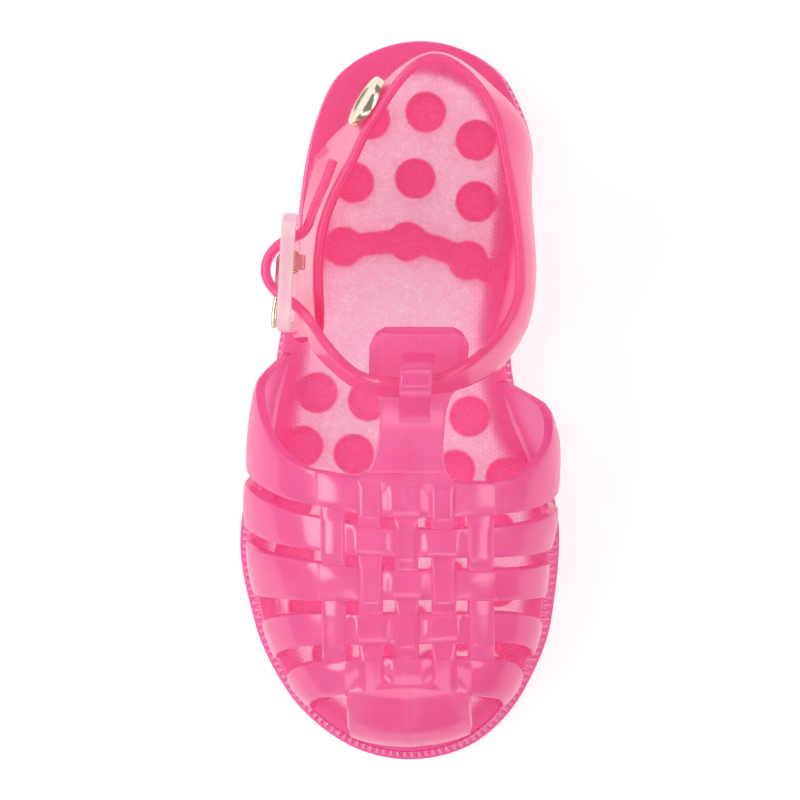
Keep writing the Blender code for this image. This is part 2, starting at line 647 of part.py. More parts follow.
class VampGrid:
    """Rows and columns of the vamp: instep bar, five bands, toe cap; side, strips, side."""

    def __init__(self):
        self.last = Last()
        self.lines = strip_lines()
        self.half = self.lines[-1][0]
        self.edges = [(band_curve(rear), band_curve(front)) for rear, front in BANDS]
        self.side_steps = [0.5 - 0.5 * math.cos(math.pi * k / (SIDE_COLUMNS + 1)) for k in range(SIDE_COLUMNS)]
        self.columns = len(self.lines) + 2 * SIDE_COLUMNS
        self.bar_rows = INSTEP_BAR[:0:-1]
        self.rows = []
        for k in range(len(self.bar_rows)):
            self.rows.append(("bar", k, 0))
        bevel = STRAND_BEVEL / 7.0
        for j in range(len(BANDS)):
            for part, raised in ((0.0, 0), (bevel, 1), (1 - bevel, 1), (1.0, 0)):
                self.rows.append(("band", j, (part, raised)))
        for k in range(1, CAP_ROWS + 1):
            self.rows.append(("cap", k, 0))

    def column(self, c):
        """Side (-1, 0, 1) and the step down that side or the strip line."""
        if c < SIDE_COLUMNS:
            return -1, self.side_steps[c]
        if c >= SIDE_COLUMNS + len(self.lines):
            return 1, self.side_steps[self.columns - 1 - c]
        return 0, self.lines[c - SIDE_COLUMNS]

    def band_y(self, j, part, across):
        """Place along the shoe of a row of band j."""
        rear, front = self.edges[j]
        return float(rear(across)) + part * (float(front(across)) - float(rear(across)))

    def spot(self, row, c):
        """Inner surface point of a grid node, or None where the grid has no node."""
        kind, j, info = row
        side, step = self.column(c)
        if kind == "band":
            part = info[0]
            if side == 0:
                across = step[0] / self.half
                return self.last.over(STRIP_MIDDLE_X + step[0], self.band_y(j, part, across))[0]
            edge_y = self.band_y(j, part, side)
            _, radius = self.last.over(STRIP_MIDDLE_X + side * self.half, edge_y)
            start = self.last.angle(radius)
            turn = math.pi / 2 + (start - math.pi / 2) * step
            return self.last.down_side(self.band_y(j, part, side * (2 - step)), side, turn)
        if side != 0:
            return None
        offset, strip, _ = step
        if kind == "bar":
            if not 1 <= strip <= STRIP_COUNT - 2:
                return None
            bar = self.bar_rows[j]
            share = offset / (STRIP_PITCH + STRIP_WIDTH / 2)
            return self.last.over(bar.middle + share * bar.half_width, bar.y)[0]
        inner_edge = abs(offset) <= self.half - STRIP_WIDTH + 1e-6
        if not inner_edge:
            return None
        x = STRIP_MIDDLE_X + offset
        across = offset / self.half
        _, radius = self.last.over(x, self.band_y(len(BANDS) - 1, 1.0, across))
        start = self.last.angle(radius)
        turn = start + (math.pi / 2 - start) * (j / CAP_ROWS)
        return self.last.down_front(x, turn)

    def raise_level(self, row, c):
        """Share of the strand height at a grid node."""
        kind, j, info = row
        side, step = self.column(c)
        if kind == "bar":
            return BAR_LEVEL
        if kind == "cap":
            return CAP_LEVEL
        part, band_up = info
        if side != 0:
            return BAND_SIDE_LEVEL * band_up
        _, strip, strip_up = step
        strip_over = (strip + j) % 2 == 1
        if strip_over:
            strip_level, band_level = 1.0, STRAND_UNDER_LEVEL
        else:
            strip_level, band_level = STRAND_UNDER_LEVEL, 1.0
        return max(strip_level * strip_up, band_level * band_up)

    def cell_is_solid(self, r, c):
        """Whether the cell after row r and column c belongs to the vamp."""
        upper, lower = self.rows[r], self.rows[r + 1]
        first, second = self.column(c), self.column(c + 1)
        same_band = upper[0] == lower[0] == "band" and upper[1] == lower[1]
        if same_band:
            return True
        if first[0] != 0 or second[0] != 0:
            return False
        if upper[0] == lower[0] == "band":
            return first[1][1] == second[1][1]
        if "bar" in (upper[0], lower[0]):
            return 1 <= first[1][1] and second[1][1] <= STRIP_COUNT - 2
        limit = self.half - STRIP_WIDTH + 1e-6
        return abs(first[1][0]) <= limit and abs(second[1][0]) <= limit

    def grids(self):
        """Inner and outer node positions and the solid cells."""
        shape = (len(self.rows), self.columns)
        inner = np.full(shape + (3,), np.nan)
        outer = np.full(shape + (3,), np.nan)
        for r, row in enumerate(self.rows):
            for c in range(self.columns):
                spot = self.spot(row, c)
                if spot is None:
                    continue
                lift = VAMP_WALL + STRAND_RAISE * self.raise_level(row, c)
                inner[r, c] = spot
                outer[r, c] = spot + self.last.outward(spot + np.array([0, 0, 0.1])) * lift
                foot = c in (0, self.columns - 1) or (row[0] == "cap" and row[1] == CAP_ROWS)
                if foot:
                    inner[r, c, 2] = SOLE_TOP(inner[r, c, 1]) + GAP
                    outer[r, c, 2] = SOLE_TOP(outer[r, c, 1]) + GAP
        solid = np.array(
            [[self.cell_is_solid(r, c) for c in range(shape[1] - 1)] for r in range(shape[0] - 1)]
        )
        return inner, outer, solid


def wall_body(inner, outer, solid):
    """A closed wall between two grids of points, over the solid cells only."""
    body = Body()
    numbers = {}

    def node(layer, r, c):
        key = (layer, r, c)
        if key not in numbers:
            numbers[key] = body.ring([(inner, outer)[layer][r, c]])[0]
        return numbers[key]

    rows, columns = solid.shape
    for r in range(rows):
        for c in range(columns):
            if not solid[r, c]:
                continue
            corners = [(r, c), (r, c + 1), (r + 1, c + 1), (r + 1, c)]
            body.faces.append(tuple(node(1, *k) for k in corners))
            body.faces.append(tuple(node(0, *k) for k in reversed(corners)))
            beside = [(r - 1, c), (r, c + 1), (r + 1, c), (r, c - 1)]
            for k, (nr, nc) in enumerate(beside):
                if 0 <= nr < rows and 0 <= nc < columns and solid[nr, nc]:
                    continue
                a, b = corners[k], corners[(k + 1) % 4]
                body.faces.append((node(1, *b), node(1, *a), node(0, *a), node(0, *b)))
    return body


def belt_loop_mesh():
    """Flat loop that passes over the ankle strap from the tab to the instep bar."""
    rows = np.array(BELT_LOOP)
    knots = np.concatenate([[0.0], np.cumsum(np.linalg.norm(np.diff(rows, axis=0), axis=1))])
    path = natural_curve(knots, rows, np.linspace(0.0, knots[-1], 22))
    along = unit(np.gradient(path, axis=0))
    across = np.array([1.0, 0.0, 0.0])
    face = unit(np.cross(along, across))
    body = Body()
    rings = []
    for p, n in zip(path, face):
        half = across * LOOP_WIDTH / 2
        thick = n * LOOP_THICK / 2
        rings.append(body.ring([p - half - thick, p + half - thick, p + half + thick, p - half + thick]))
    for a, b in zip(rings[:-1], rings[1:]):
        body.band(a, b)
    body.cap(rings[0])
    body.cap(rings[-1])
    return body.mesh("belt_loop")


class Ribbon:
    """Side panels, heel strap and ankle strap as one sheet of even wall."""

    def __init__(self):
        rows = np.array(RIBBON)
        middle = (rows[:, 0:3] + rows[:, 3:6]) / 2
        run = np.linalg.norm(np.diff(middle, axis=0) * KNOT_WEIGHT, axis=1)
        self.knots = np.concatenate([[0.0], np.cumsum(run)])
        count = int(round(self.knots[-1] / RIBBON_STATION)) + 1
        self.at = np.linspace(0.0, self.knots[-1], count)
        lanes = natural_curve(self.knots, rows, self.at)
        top, self.low, bulge = lanes[:, 0:3], lanes[:, 3:6], lanes[:, 6]
        self.stands = self.low[:, 2] < SOLE_TOP(self.low[:, 1]) + GAP
        self.low[self.stands, 2] = SOLE_TOP(self.low[self.stands, 1]) + GAP
        along = np.gradient((top + self.low) / 2, axis=0)
        side = unit(np.stack([-along[:, 1], along[:, 0], np.zeros(count)], axis=1))
        part = np.array(RIBBON_ACROSS)
        sheet = top[:, None, :] + (self.low - top)[:, None, :] * part[None, :, None]
        sheet += (side * bulge[:, None])[:, None, :] * (4 * part * (1 - part))[None, :, None]
        self.sheet = sheet
        self.face = unit(np.cross(np.gradient(sheet, axis=0), np.gradient(sheet, axis=1)))

    def place(self, row):
        """Distance along the ribbon of a place between table rows."""
        return np.interp(row, np.arange(len(self.knots)), self.knots)

    def layer(self, offset):
        """The sheet moved along its face, its foot kept level on the sole."""
        moved = self.sheet + self.face * offset
        moved[self.stands, -1, 2] = SOLE_TOP(moved[self.stands, -1, 1]) + GAP
        return moved

    def body(self):
        """The wall, with a slot for the buckle prong."""
        solid = np.ones((len(self.at) - 1, len(RIBBON_ACROSS) - 1), bool)
        centre = (self.at[:-1] + self.at[1:]) / 2
        solid[np.abs(centre - self.place(PRONG_HOLE_ROW)) < PRONG_HOLE_LENGTH / 2, HOLE_COLUMN] = False
        return wall_body(self.layer(-QUARTER_WALL / 2), self.layer(QUARTER_WALL / 2), solid)

    def seat(self, row, radius):
        """Centre and direction of a flat seat that just clears the outer face within a radius."""
        station = int(np.argmin(np.abs(self.at - self.place(row))))
        middle = len(RIBBON_ACROSS) // 2
        centre = (self.sheet[station, middle - 1] + self.sheet[station, middle]) / 2
        direction = unit(self.face[station - 1 : station + 2, 1:-1].mean(axis=(0, 1)))
        offset = (self.layer(QUARTER_WALL / 2) - centre).reshape(-1, 3)
        height = offset @ direction
        beside = np.linalg.norm(offset - height[:, None] * direction, axis=1) < radius
        near = beside & (np.abs(height) < 2 * QUARTER_WALL)
        return centre + direction * (height[near].max() + GAP), direction


def buckle_place():
    """Turn and place of the buckle: local x outwards, y towards the heel, z up."""
    return Matrix.Translation(Vector(BUCKLE_MIDDLE) * MM) @ Matrix.Rotation(math.pi + BUCKLE_TURN, 4, "Z")


def rounded_loop(half_length, half_height, radius, corner_steps):
    """Points round a rectangle with rounded corners, with their outward directions."""
    spots, outward = [], []
    for k, (sign_y, sign_z) in enumerate(((1, 1), (-1, 1), (-1, -1), (1, -1))):
        for i in range(corner_steps + 1):
            a = math.pi / 2 * (k + i / corner_steps)
            middle = (sign_y * (half_length - radius), sign_z * (half_height - radius))
            spots.append((middle[0] + radius * math.cos(a), middle[1] + radius * math.sin(a)))
            outward.append((math.cos(a), math.sin(a)))
    return spots, outward


def frame_mesh():
    """Buckle frame: an even bar bent into a rounded rectangle."""
    spots, outward = rounded_loop(FRAME_LENGTH / 2, FRAME_HEIGHT / 2, FRAME_CORNER, FRAME_CORNER_STEPS)
    wide, thick, edge = FRAME_BAR, FRAME_THICK / 2, FRAME_EDGE
    section = [(0, -thick + edge), (0, thick - edge), (edge, thick), (wide - edge, thick)]
    section += [(wide, thick - edge), (wide, -thick + edge), (wide - edge, -thick), (edge, -thick)]
    body = Body()
    rings = []
    for (y, z), (out_y, out_z) in zip(spots, outward):
        rings.append(body.ring([(x, y - out_y * inset, z - out_z * inset) for inset, x in section]))
    for i, ring in enumerate(rings):
        body.band(ring, rings[(i + 1) % len(rings)])
    return body.mesh("buckle_frame")


def middle_bar_mesh():
    """Round bar across the frame that the prong turns on."""
    reach = FRAME_HEIGHT / 2 - FRAME_BAR / 2
    return rod([(0.0, -MIDDLE_BAR_AT, -reach), (0.0, -MIDDLE_BAR_AT, reach)], MIDDLE_BAR_RADIUS, 12)


def rod(path, radius, sides):
    """Round rod along a path."""
    line = np.array(path, float)
    along = unit(np.gradient(line, axis=0))
    helper = np.array([0.0, 0.0, 1.0]) if abs(along[0, 2]) < 0.9 else np.array([1.0, 0.0, 0.0])
    side = unit(np.cross(along, helper))
    up = np.cross(side, along)
    body = Body()
    rings = []
    for p, s, u in zip(line, side, up):
        turn = [2 * math.pi * k / sides for k in range(sides)]
        rings.append(body.ring([p + radius * (s * math.cos(a) + u * math.sin(a)) for a in turn]))
    for a, b in zip(rings[:-1], rings[1:]):
        body.band(a, b)
    body.cap(rings[0])
    body.cap(rings[-1])
    return body.mesh("rod")


def base_mesh():
    """Clear block on the side panel with two ears that reach the middle bar."""
    half, ear = BASE_LENGTH / 2, EAR_LENGTH / 2
    columns = [-BASE_FACE, -BASE_FACE + BASE_PLATE, -MIDDLE_BAR_RADIUS - GAP]
    rows = [-MIDDLE_BAR_AT + off for off in (-half, -ear, ear, half)]
    low, high = -BASE_DROP - BASE_HEIGHT / 2, -BASE_DROP + BASE_HEIGHT / 2
    levels = [low, low + EAR_HEIGHT, high - EAR_HEIGHT, high]
    cells = {(0, i, k) for i in range(3) for k in range(3)} | {(1, 1, 0), (1, 1, 2)}
    body = block_body(columns, rows, levels, cells)
    body.points = [(x + BASE_LEAN * (high - z) if x == columns[0] else x, y, z) for x, y, z in body.points]
    return body.mesh("buckle_base")


def block_body(xs, ys, zs, cells):
    """A closed body from a set of boxes in a small grid of planes."""
    body = Body()
    numbers = {}

    def node(i, j, k):
        if (i, j, k) not in numbers:
            numbers[(i, j, k)] = body.ring([(xs[i], ys[j], zs[k])])[0]
        return numbers[(i, j, k)]

    sides = {
        (-1, 0, 0): ((0, 0, 0), (0, 0, 1), (0, 1, 1), (0, 1, 0)),
        (1, 0, 0): ((1, 0, 0), (1, 1, 0), (1, 1, 1), (1, 0, 1)),
        (0, -1, 0): ((0, 0, 0), (1, 0, 0), (1, 0, 1), (0, 0, 1)),
        (0, 1, 0): ((0, 1, 0), (0, 1, 1), (1, 1, 1), (1, 1, 0)),
        (0, 0, -1): ((0, 0, 0), (0, 1, 0), (1, 1, 0), (1, 0, 0)),
        (0, 0, 1): ((0, 0, 1), (1, 0, 1), (1, 1, 1), (0, 1, 1)),
    }
    for i, j, k in cells:
        for (di, dj, dk), corners in sides.items():
            if (i + di, j + dj, k + dk) not in cells:
                body.faces.append(tuple(node(i + a, j + b, k + c) for a, b, c in corners))
    return body


def prong_mesh():
    """Metal pin bent round the middle bar, its tip resting on the front bar."""
    reach = MIDDLE_BAR_RADIUS + GAP + PRONG_RADIUS
    rest = FRAME_THICK / 2 + GAP + PRONG_RADIUS
    path = []
    for k in range(PRONG_TURN_STEPS + 1):
        a = math.radians(PRONG_TURN * (k / PRONG_TURN_STEPS - 1))
        path.append((reach * math.cos(a), reach * math.sin(a) - MIDDLE_BAR_AT))
    path += [(reach, 0.4), (reach, 5.0), (rest, PRONG_TIP_AT - 3.6), (rest, PRONG_TIP_AT)]
    return rod([(x, y, PRONG_LIFT) for x, y in path], PRONG_RADIUS, PRONG_SIDES)


def stud_mesh():
    """Turned metal disc with a raised rim."""
    body = Body()
    sections = [
        (STUD_RADIUS - 0.4, 0.0),
        (STUD_RADIUS, 0.5),
        (STUD_RADIUS, STUD_HEIGHT - 0.5),
        (STUD_RADIUS - 0.5, STUD_HEIGHT),
        (STUD_RADIUS - STUD_RIM, STUD_HEIGHT),
        (STUD_RADIUS - STUD_RIM - 0.4, STUD_HEIGHT - STUD_FACE_DROP),
    ]
    rings = []
    for radius, height in sections:
        ring = []
        for k in range(STUD_SIDES):
            a = 2 * math.pi * k / STUD_SIDES
            ring.append((radius * math.cos(a), radius * math.sin(a), height))
        rings.append(body.ring(ring))
    for a, b in zip(rings[:-1], rings[1:]):
        body.band(a, b)
    body.cap(rings[0])
    body.cap(rings[-1])
    return body.mesh("stud")


def main():
    """Builds every sub-part of the sandal."""
    for item in list(bpy.data.objects):
        bpy.data.objects.remove(item)
    jelly = material("jelly_pink", JELLY_PINK, 0.0, 0.18)
    clear = material("clear_pink", CLEAR_PINK, 0.0, 0.15)
    gold = material("pale_gold", PALE_GOLD, 1.0, 0.28)

    sole = put("sole", sole_shell(), jelly)
    merge(sole, lug_mesh())
    merge(sole, cross_wall_mesh())

    vamp = put("vamp", wall_body(*VampGrid().grids()).mesh("vamp"), jelly)
    merge(vamp, belt_loop_mesh())

    ribbon = Ribbon()
    put("quarters", ribbon.body().mesh("quarters"), jelly)

    frame = put("buckle_frame", frame_mesh(), clear)
    merge(frame, middle_bar_mesh())
    put("buckle_base", base_mesh(), clear)
    put("buckle_prong", prong_mesh(), gold)
    for name in ("buckle_frame", "buckle_base", "buckle_prong"):
        bpy.data.objects[name].data.transform(buckle_place())

    stud = stud_mesh()
    centre, direction = ribbon.seat(STUD_ROW, STUD_RADIUS)
    turn = Vector(direction).to_track_quat("Z", "Y").to_matrix().to_4x4()
    stud.transform(Matrix.Translation(Vector(centre) * MM) @ turn)
    put("stud", stud, gold)


main()
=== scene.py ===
"""Looks of a child's moulded jelly sandal, right foot.

Frame: +Z up, heel towards +Y, toe towards -Y, inner side of the foot towards +X, floor at z = 0.
Sizes are in millimetres; MM turns them into metres when a mesh is made.
"""

import logging
import math
from dataclasses import dataclass, field
from enum import Enum
from typing import NamedTuple

import bmesh
import bpy
import numpy as np
from mathutils import Euler, Matrix, Vector


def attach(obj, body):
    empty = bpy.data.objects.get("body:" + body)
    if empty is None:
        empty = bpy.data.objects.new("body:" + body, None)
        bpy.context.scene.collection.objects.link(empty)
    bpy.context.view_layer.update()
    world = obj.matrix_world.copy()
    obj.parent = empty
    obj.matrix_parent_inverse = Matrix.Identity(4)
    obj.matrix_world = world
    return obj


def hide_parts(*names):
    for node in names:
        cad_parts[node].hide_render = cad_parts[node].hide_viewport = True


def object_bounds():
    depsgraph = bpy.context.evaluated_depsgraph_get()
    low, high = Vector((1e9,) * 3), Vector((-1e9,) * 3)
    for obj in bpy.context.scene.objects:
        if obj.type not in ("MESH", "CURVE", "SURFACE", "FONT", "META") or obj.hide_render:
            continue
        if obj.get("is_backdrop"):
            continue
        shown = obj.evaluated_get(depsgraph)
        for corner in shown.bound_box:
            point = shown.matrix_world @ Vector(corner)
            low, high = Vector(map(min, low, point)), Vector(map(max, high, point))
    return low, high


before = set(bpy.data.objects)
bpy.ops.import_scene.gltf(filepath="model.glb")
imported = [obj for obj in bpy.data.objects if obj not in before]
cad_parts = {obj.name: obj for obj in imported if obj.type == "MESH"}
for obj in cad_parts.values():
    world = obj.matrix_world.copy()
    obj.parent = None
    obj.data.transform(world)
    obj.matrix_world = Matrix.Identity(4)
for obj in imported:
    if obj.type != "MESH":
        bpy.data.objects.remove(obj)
CAD_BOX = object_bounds()

# One millimetre in metres, and the clearance between neighbouring pieces in millimetres
MM = 0.001
GAP = 0.3
# Allowance for rounding where places on a grid are compared
NEAR = 1e-6
# Middle of the values that a noise texture gives
NOISE_MIDDLE = 0.5
BODY = "root"
log = logging.getLogger("sandal")

Colour = tuple[float, float, float]
Pairs = list[tuple[float, float]]
Points = np.ndarray


class Side(Enum):
    """The two sides of the foot, with the sign of X on each."""

    LATERAL = -1
    MEDIAL = 1


class Slot(Enum):
    """Material slots of the record."""

    JELLY = "jelly_pink"
    CLEAR = "clear_pink"
    GOLD = "pale_gold"


class Joining(Enum):
    """How one solid is put together with another."""

    UNION = "UNION"
    CUT = "DIFFERENCE"


class Sum(Enum):
    """Steps of arithmetic in a finish."""

    ADD = "ADD"
    SUBTRACT = "SUBTRACT"
    MULTIPLY = "MULTIPLY"
    MAXIMUM = "MAXIMUM"
    ABSOLUTE = "ABSOLUTE"
    COSINE = "COSINE"


class RowKind(Enum):
    """What a row of the vamp's grid belongs to."""

    BAR = "bar"
    BAND = "band"
    BETWEEN = "between"
    CAP = "cap"


class Profile:
    """A smooth curve through a few values that doesn't overshoot them."""

    def __init__(self, at: list[float], values: list[float]) -> None:
        """Fits the curve.

        Args:
            at: places of the values, in any order.
            values: one value for each place.
        """
        order = np.argsort(at)
        self.at = np.array(at, float)[order]
        self.values = np.array(values, float)[order]
        step = np.diff(self.at)
        rise = np.diff(self.values) / step
        slope = np.zeros_like(self.values)
        for i in range(1, len(slope) - 1):
            if rise[i - 1] * rise[i] > 0:
                before = 2 * step[i] + step[i - 1]
                after = step[i] + 2 * step[i - 1]
                slope[i] = (before + after) / (before / rise[i - 1] + after / rise[i])
        slope[0] = 1.5 * rise[0] - 0.5 * slope[1]
        slope[-1] = 1.5 * rise[-1] - 0.5 * slope[-2]
        self.slope = slope

    def __call__(self, at: Points) -> Points:
        """The curve's value at each place.

        Args:
            at: places to read, held within the table.

        Returns:
            One value for each place.
        """
        at = np.clip(at, self.at[0], self.at[-1])
        i = np.clip(np.searchsorted(self.at, at) - 1, 0, len(self.at) - 2)
        step = self.at[i + 1] - self.at[i]
        t = (at - self.at[i]) / step
        return (
            self.values[i] * (1 + 2 * t) * (1 - t) ** 2
            + self.slope[i] * step * t * (1 - t) ** 2
            + self.values[i + 1] * t * t * (3 - 2 * t)
            + self.slope[i + 1] * step * t * t * (t - 1)
        )


def column(rows: list[NamedTuple], name: str, power: int = 1) -> Profile:
    """A table column against the table's y, raised to a power."""
    return Profile([row.y for row in rows], [getattr(row, name) ** power for row in rows])


def natural_curve(knots: Points, values: Points, at: Points) -> Points:
    """Natural cubic curve through rows of values.

    Args:
        knots: rising places of the rows.
        values: one row of values for each knot.
        at: places to read.

    Returns:
        One row of values for each place.
    """
    count = len(knots)
    step = np.diff(knots)
    system = np.eye(count)
    right = np.zeros_like(values)
    for i in range(1, count - 1):
        system[i, i - 1 : i + 2] = step[i - 1], 2 * (step[i - 1] + step[i]), step[i]
        right[i] = 6 * ((values[i + 1] - values[i]) / step[i] - (values[i] - values[i - 1]) / step[i - 1])
    bend = np.linalg.solve(system, right)
    i = np.clip(np.searchsorted(knots, at) - 1, 0, count - 2)
    h = step[i][:, None]
    a = (knots[i + 1] - at)[:, None]
    b = (at - knots[i])[:, None]
    return (
        bend[i] * a**3 / (6 * h)
        + bend[i + 1] * b**3 / (6 * h)
        + (values[i] / h - bend[i] * h / 6) * a
        + (values[i + 1] / h - bend[i + 1] * h / 6) * b
    )


def unit(vectors: Points) -> Points:
    """Vectors of length one along the last axis."""
    return vectors / np.linalg.norm(vectors, axis=-1, keepdims=True)


def smooth(t: Points) -> Points:
    """Soft step from 0 to 1."""
    t = np.clip(t, 0.0, 1.0)
    return t * t * (3 - 2 * t)


def rounded(u: Points, power: float) -> Points:
    """Height of a rounded strand across its width: 0 at both edges, 1 along the middle."""
    return np.maximum(1 - np.abs(2 * u - 1) ** power, 0.0) ** (1 / power)


def eased(count: int) -> Points:
    """Places from 0 to 1 that crowd towards both ends."""
    return 0.5 - 0.5 * np.cos(np.linspace(0.0, math.pi, count + 1))


def turns(count: int) -> Points:
    """Even angles round a full turn."""
    return np.arange(count) * 2 * math.pi / count


def squared(wave: Points, power: float) -> Points:
    """A sine or cosine that keeps its sign and is drawn towards a square wave by a power below one."""
    return np.sign(wave) * np.abs(wave) ** power


def circle(turn: Points, radius: float, z: float, x: float = 0.0, y: float = 0.0) -> Points:
    """Points of a level circle round x and y."""
    return np.stack([x + radius * np.cos(turn), y + radius * np.sin(turn), np.full_like(turn, z)], axis=1)


def distances(points: Points) -> Points:
    """Distance of each point from the first, along the line through them."""
    return np.concatenate([[0.0], np.cumsum(np.linalg.norm(np.diff(points, axis=0), axis=1))])


class Ramp(NamedTuple):
    """A soft step that is 0 at one place and 1 at another."""

    zero: float
    one: float

    def at(self, place: float) -> float:
        """Height of the step at a place."""
        return float(smooth((place - self.zero) / (self.one - self.zero)))


class FaceLook(NamedTuple):
    """How one kind of face differs from the rest of its moulding."""

    milk: float
    roughness: float
    grain: float = 0.0
    # Strength of the small ripple bump and of the painted glint lines, which stand in for light that the
    # ripples catch
    ripples_and_glints: float = 0.0
    shade: float = 0.0

    def toward(self, other: "FaceLook", part: float) -> "FaceLook":
        """A look part of the way to another."""
        return FaceLook(*(a + (b - a) * part for a, b in zip(self, other)))


class Shell:
    """Points and faces of one piece, in millimetres."""

    def __init__(self, look: FaceLook | None = None) -> None:
        """Starts with no points; the look is for faces that don't name their own.

        Args:
            look: look of the faces; none for a piece without looks.
        """
        self.points: list[tuple[float, float, float]] = []
        self.faces: list[tuple[int, ...]] = []
        self.looks: list[FaceLook | None] = []
        self.look = look

    def ring(self, points: Points) -> list[int]:
        """Adds points and returns their numbers.

        Args:
            points: rows of x, y and z.

        Returns:
            Their numbers.
        """
        first = len(self.points)
        self.points.extend(tuple(float(c) for c in p) for p in points)
        return list(range(first, len(self.points)))

    def face(self, corners: tuple[int, ...], look: FaceLook | None = None) -> None:
        """Adds one face."""
        self.faces.append(corners)
        self.looks.append(look or self.look)

    def band(self, low: list[int], high: list[int], look: FaceLook | None = None) -> None:
        """Joins two closed rings of equal length.

        Args:
            low: first ring.
            high: second ring.
            look: look of its faces, if not the piece's own.
        """
        count = len(low)
        for i in range(count):
            j = (i + 1) % count
            self.face((low[i], low[j], high[j], high[i]), look)

    def fan_band(self, coarse: list[int], fine: list[int], look: FaceLook | None = None) -> None:
        """Joins a closed ring to one with a whole number of points for each of its own.

        Args:
            coarse: ring with fewer points.
            fine: ring with more points.
            look: look of its faces, if not the piece's own.
        """
        each = len(fine) // len(coarse)
        middle = each // 2
        for i, here in enumerate(coarse):
            there = coarse[(i + 1) % len(coarse)]
            arc = [fine[(i * each + k) % len(fine)] for k in range(each + 1)]
            for k in range(each):
                self.face((here if k < middle else there, arc[k + 1], arc[k]), look)
            self.face((here, there, arc[middle]), look)

    def cap(self, ring: list[int]) -> None:
        """Closes a ring with one flat face."""
        self.face(tuple(ring))

    def tube(self, rings: list[list[int]], closed: bool = False) -> None:
        """Joins rings into a tube, closed on itself or capped at both ends.

        Args:
            rings: rings of equal length, in order.
            closed: whether the last joins the first.
        """
        for a, b in zip(rings[:-1], rings[1:]):
            self.band(a, b)
        if closed:
            self.band(rings[-1], rings[0])
        else:
            self.cap(rings[0])
            self.cap(rings[-1])

    def mesh(self, name: str) -> bpy.types.Mesh:
        """A mesh in metres with its faces turned outwards and their looks written on them.

        Args:
            name: name of the mesh.

        Returns:
            The mesh.
        """
        data = bpy.data.meshes.new(name)
        data.from_pydata([[c * MM for c in p] for p in self.points], [], self.faces)
        for k, field_name in enumerate(FaceLook._fields if self.look else ()):
            layer = data.attributes.new(field_name, "FLOAT", "FACE")
            layer.data.foreach_set("value", [look[k] for look in self.looks])
        edit = bmesh.new()
        edit.from_mesh(data)
        bmesh.ops.recalc_face_normals(edit, faces=edit.faces)
        edit.to_mesh(data)
        edit.free()
        return data


def wall_shell(inner: Points, outer: Points, solid: Points, outside: FaceLook, inside: FaceLook) -> Shell:
    """A closed wall between two grids of points.

    Args:
        inner: grid of points on the inside.
        outer: grid of points on the outside.
        solid: which cells between grid points are filled.
        outside: look of the outside and the edges.
        inside: look of the inside.

    Returns:
        The wall with its edges closed.
    """
    shell = Shell(outside)
    numbers: dict[tuple[int, int, int], int] = {}

    def node(layer: int, r: int, c: int) -> int:
        """Number of a grid point, added when first asked for.

        Args:
            layer: 0 for the inside, 1 for the outside.
            r: grid row.
            c: grid column.

        Returns:
            The number.
        """
        key = (layer, r, c)
        if key not in numbers:
            numbers[key] = shell.ring([(inner, outer)[layer][r, c]])[0]
        return numbers[key]

    rows, columns = solid.shape
    for r, c in zip(*np.nonzero(solid)):
        corners = [(r, c), (r, c + 1), (r + 1, c + 1), (r + 1, c)]
        shell.face(tuple(node(1, *k) for k in corners))
        shell.face(tuple(node(0, *k) for k in reversed(corners)), inside)
        beside = [(r - 1, c), (r, c + 1), (r + 1, c), (r, c - 1)]
        for k, (nr, nc) in enumerate(beside):
            if 0 <= nr < rows and 0 <= nc < columns and solid[nr, nc]:
                continue
            a, b = corners[k], corners[(k + 1) % 4]
            shell.face((node(1, *b), node(1, *a), node(0, *a), node(0, *b)))
    return shell


def merged(base: bpy.types.Mesh, extra: bpy.types.Mesh, how: Joining = Joining.UNION) -> bpy.types.Mesh:
    """Joins or cuts two meshes as solids.

    Args:
        base: the mesh that is kept.
        extra: the mesh that is joined to it or cut out of it.
        how: whether it is joined or cut.

    Returns:
        The new mesh.
    """
    items = [bpy.data.objects.new("joining", data) for data in (base, extra)]
    for item in items:
        bpy.context.scene.collection.objects.link(item)
    step = items[0].modifiers.new("join", "BOOLEAN")
    step.operation = how.value
    step.solver = "EXACT"
    step.object = items[1]
    graph = bpy.context.evaluated_depsgraph_get()
    made = bpy.data.meshes.new_from_object(items[0].evaluated_get(graph))
    for item in items:
        bpy.data.objects.remove(item)
    return made


def show(name: str, data: bpy.types.Mesh, node: str, slot: Slot, finish: bpy.types.Material,
         crease: float = 38.0) -> bpy.types.Object:
    """Puts a finished piece in the scene in place of a CAD node.

    Args:
        name: name of the piece.
        data: its mesh.
        node: the CAD node that it stands for.
        slot: the record's material slot; not used.
        finish: its material.
        crease: angle in degrees above which an edge stays sharp.

    Returns:
        The new object.
    """
    data.materials.clear()
    data.materials.append(finish)
    data.polygons.foreach_set("use_smooth", [True] * len(data.polygons))
    data.set_sharp_from_angle(angle=math.radians(crease))
    item = bpy.data.objects.new(name, data)
    bpy.context.scene.collection.objects.link(item)
    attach(item, BODY)
    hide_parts(node)
    log.info("%s: %d faces", name, len(data.polygons))
    return item


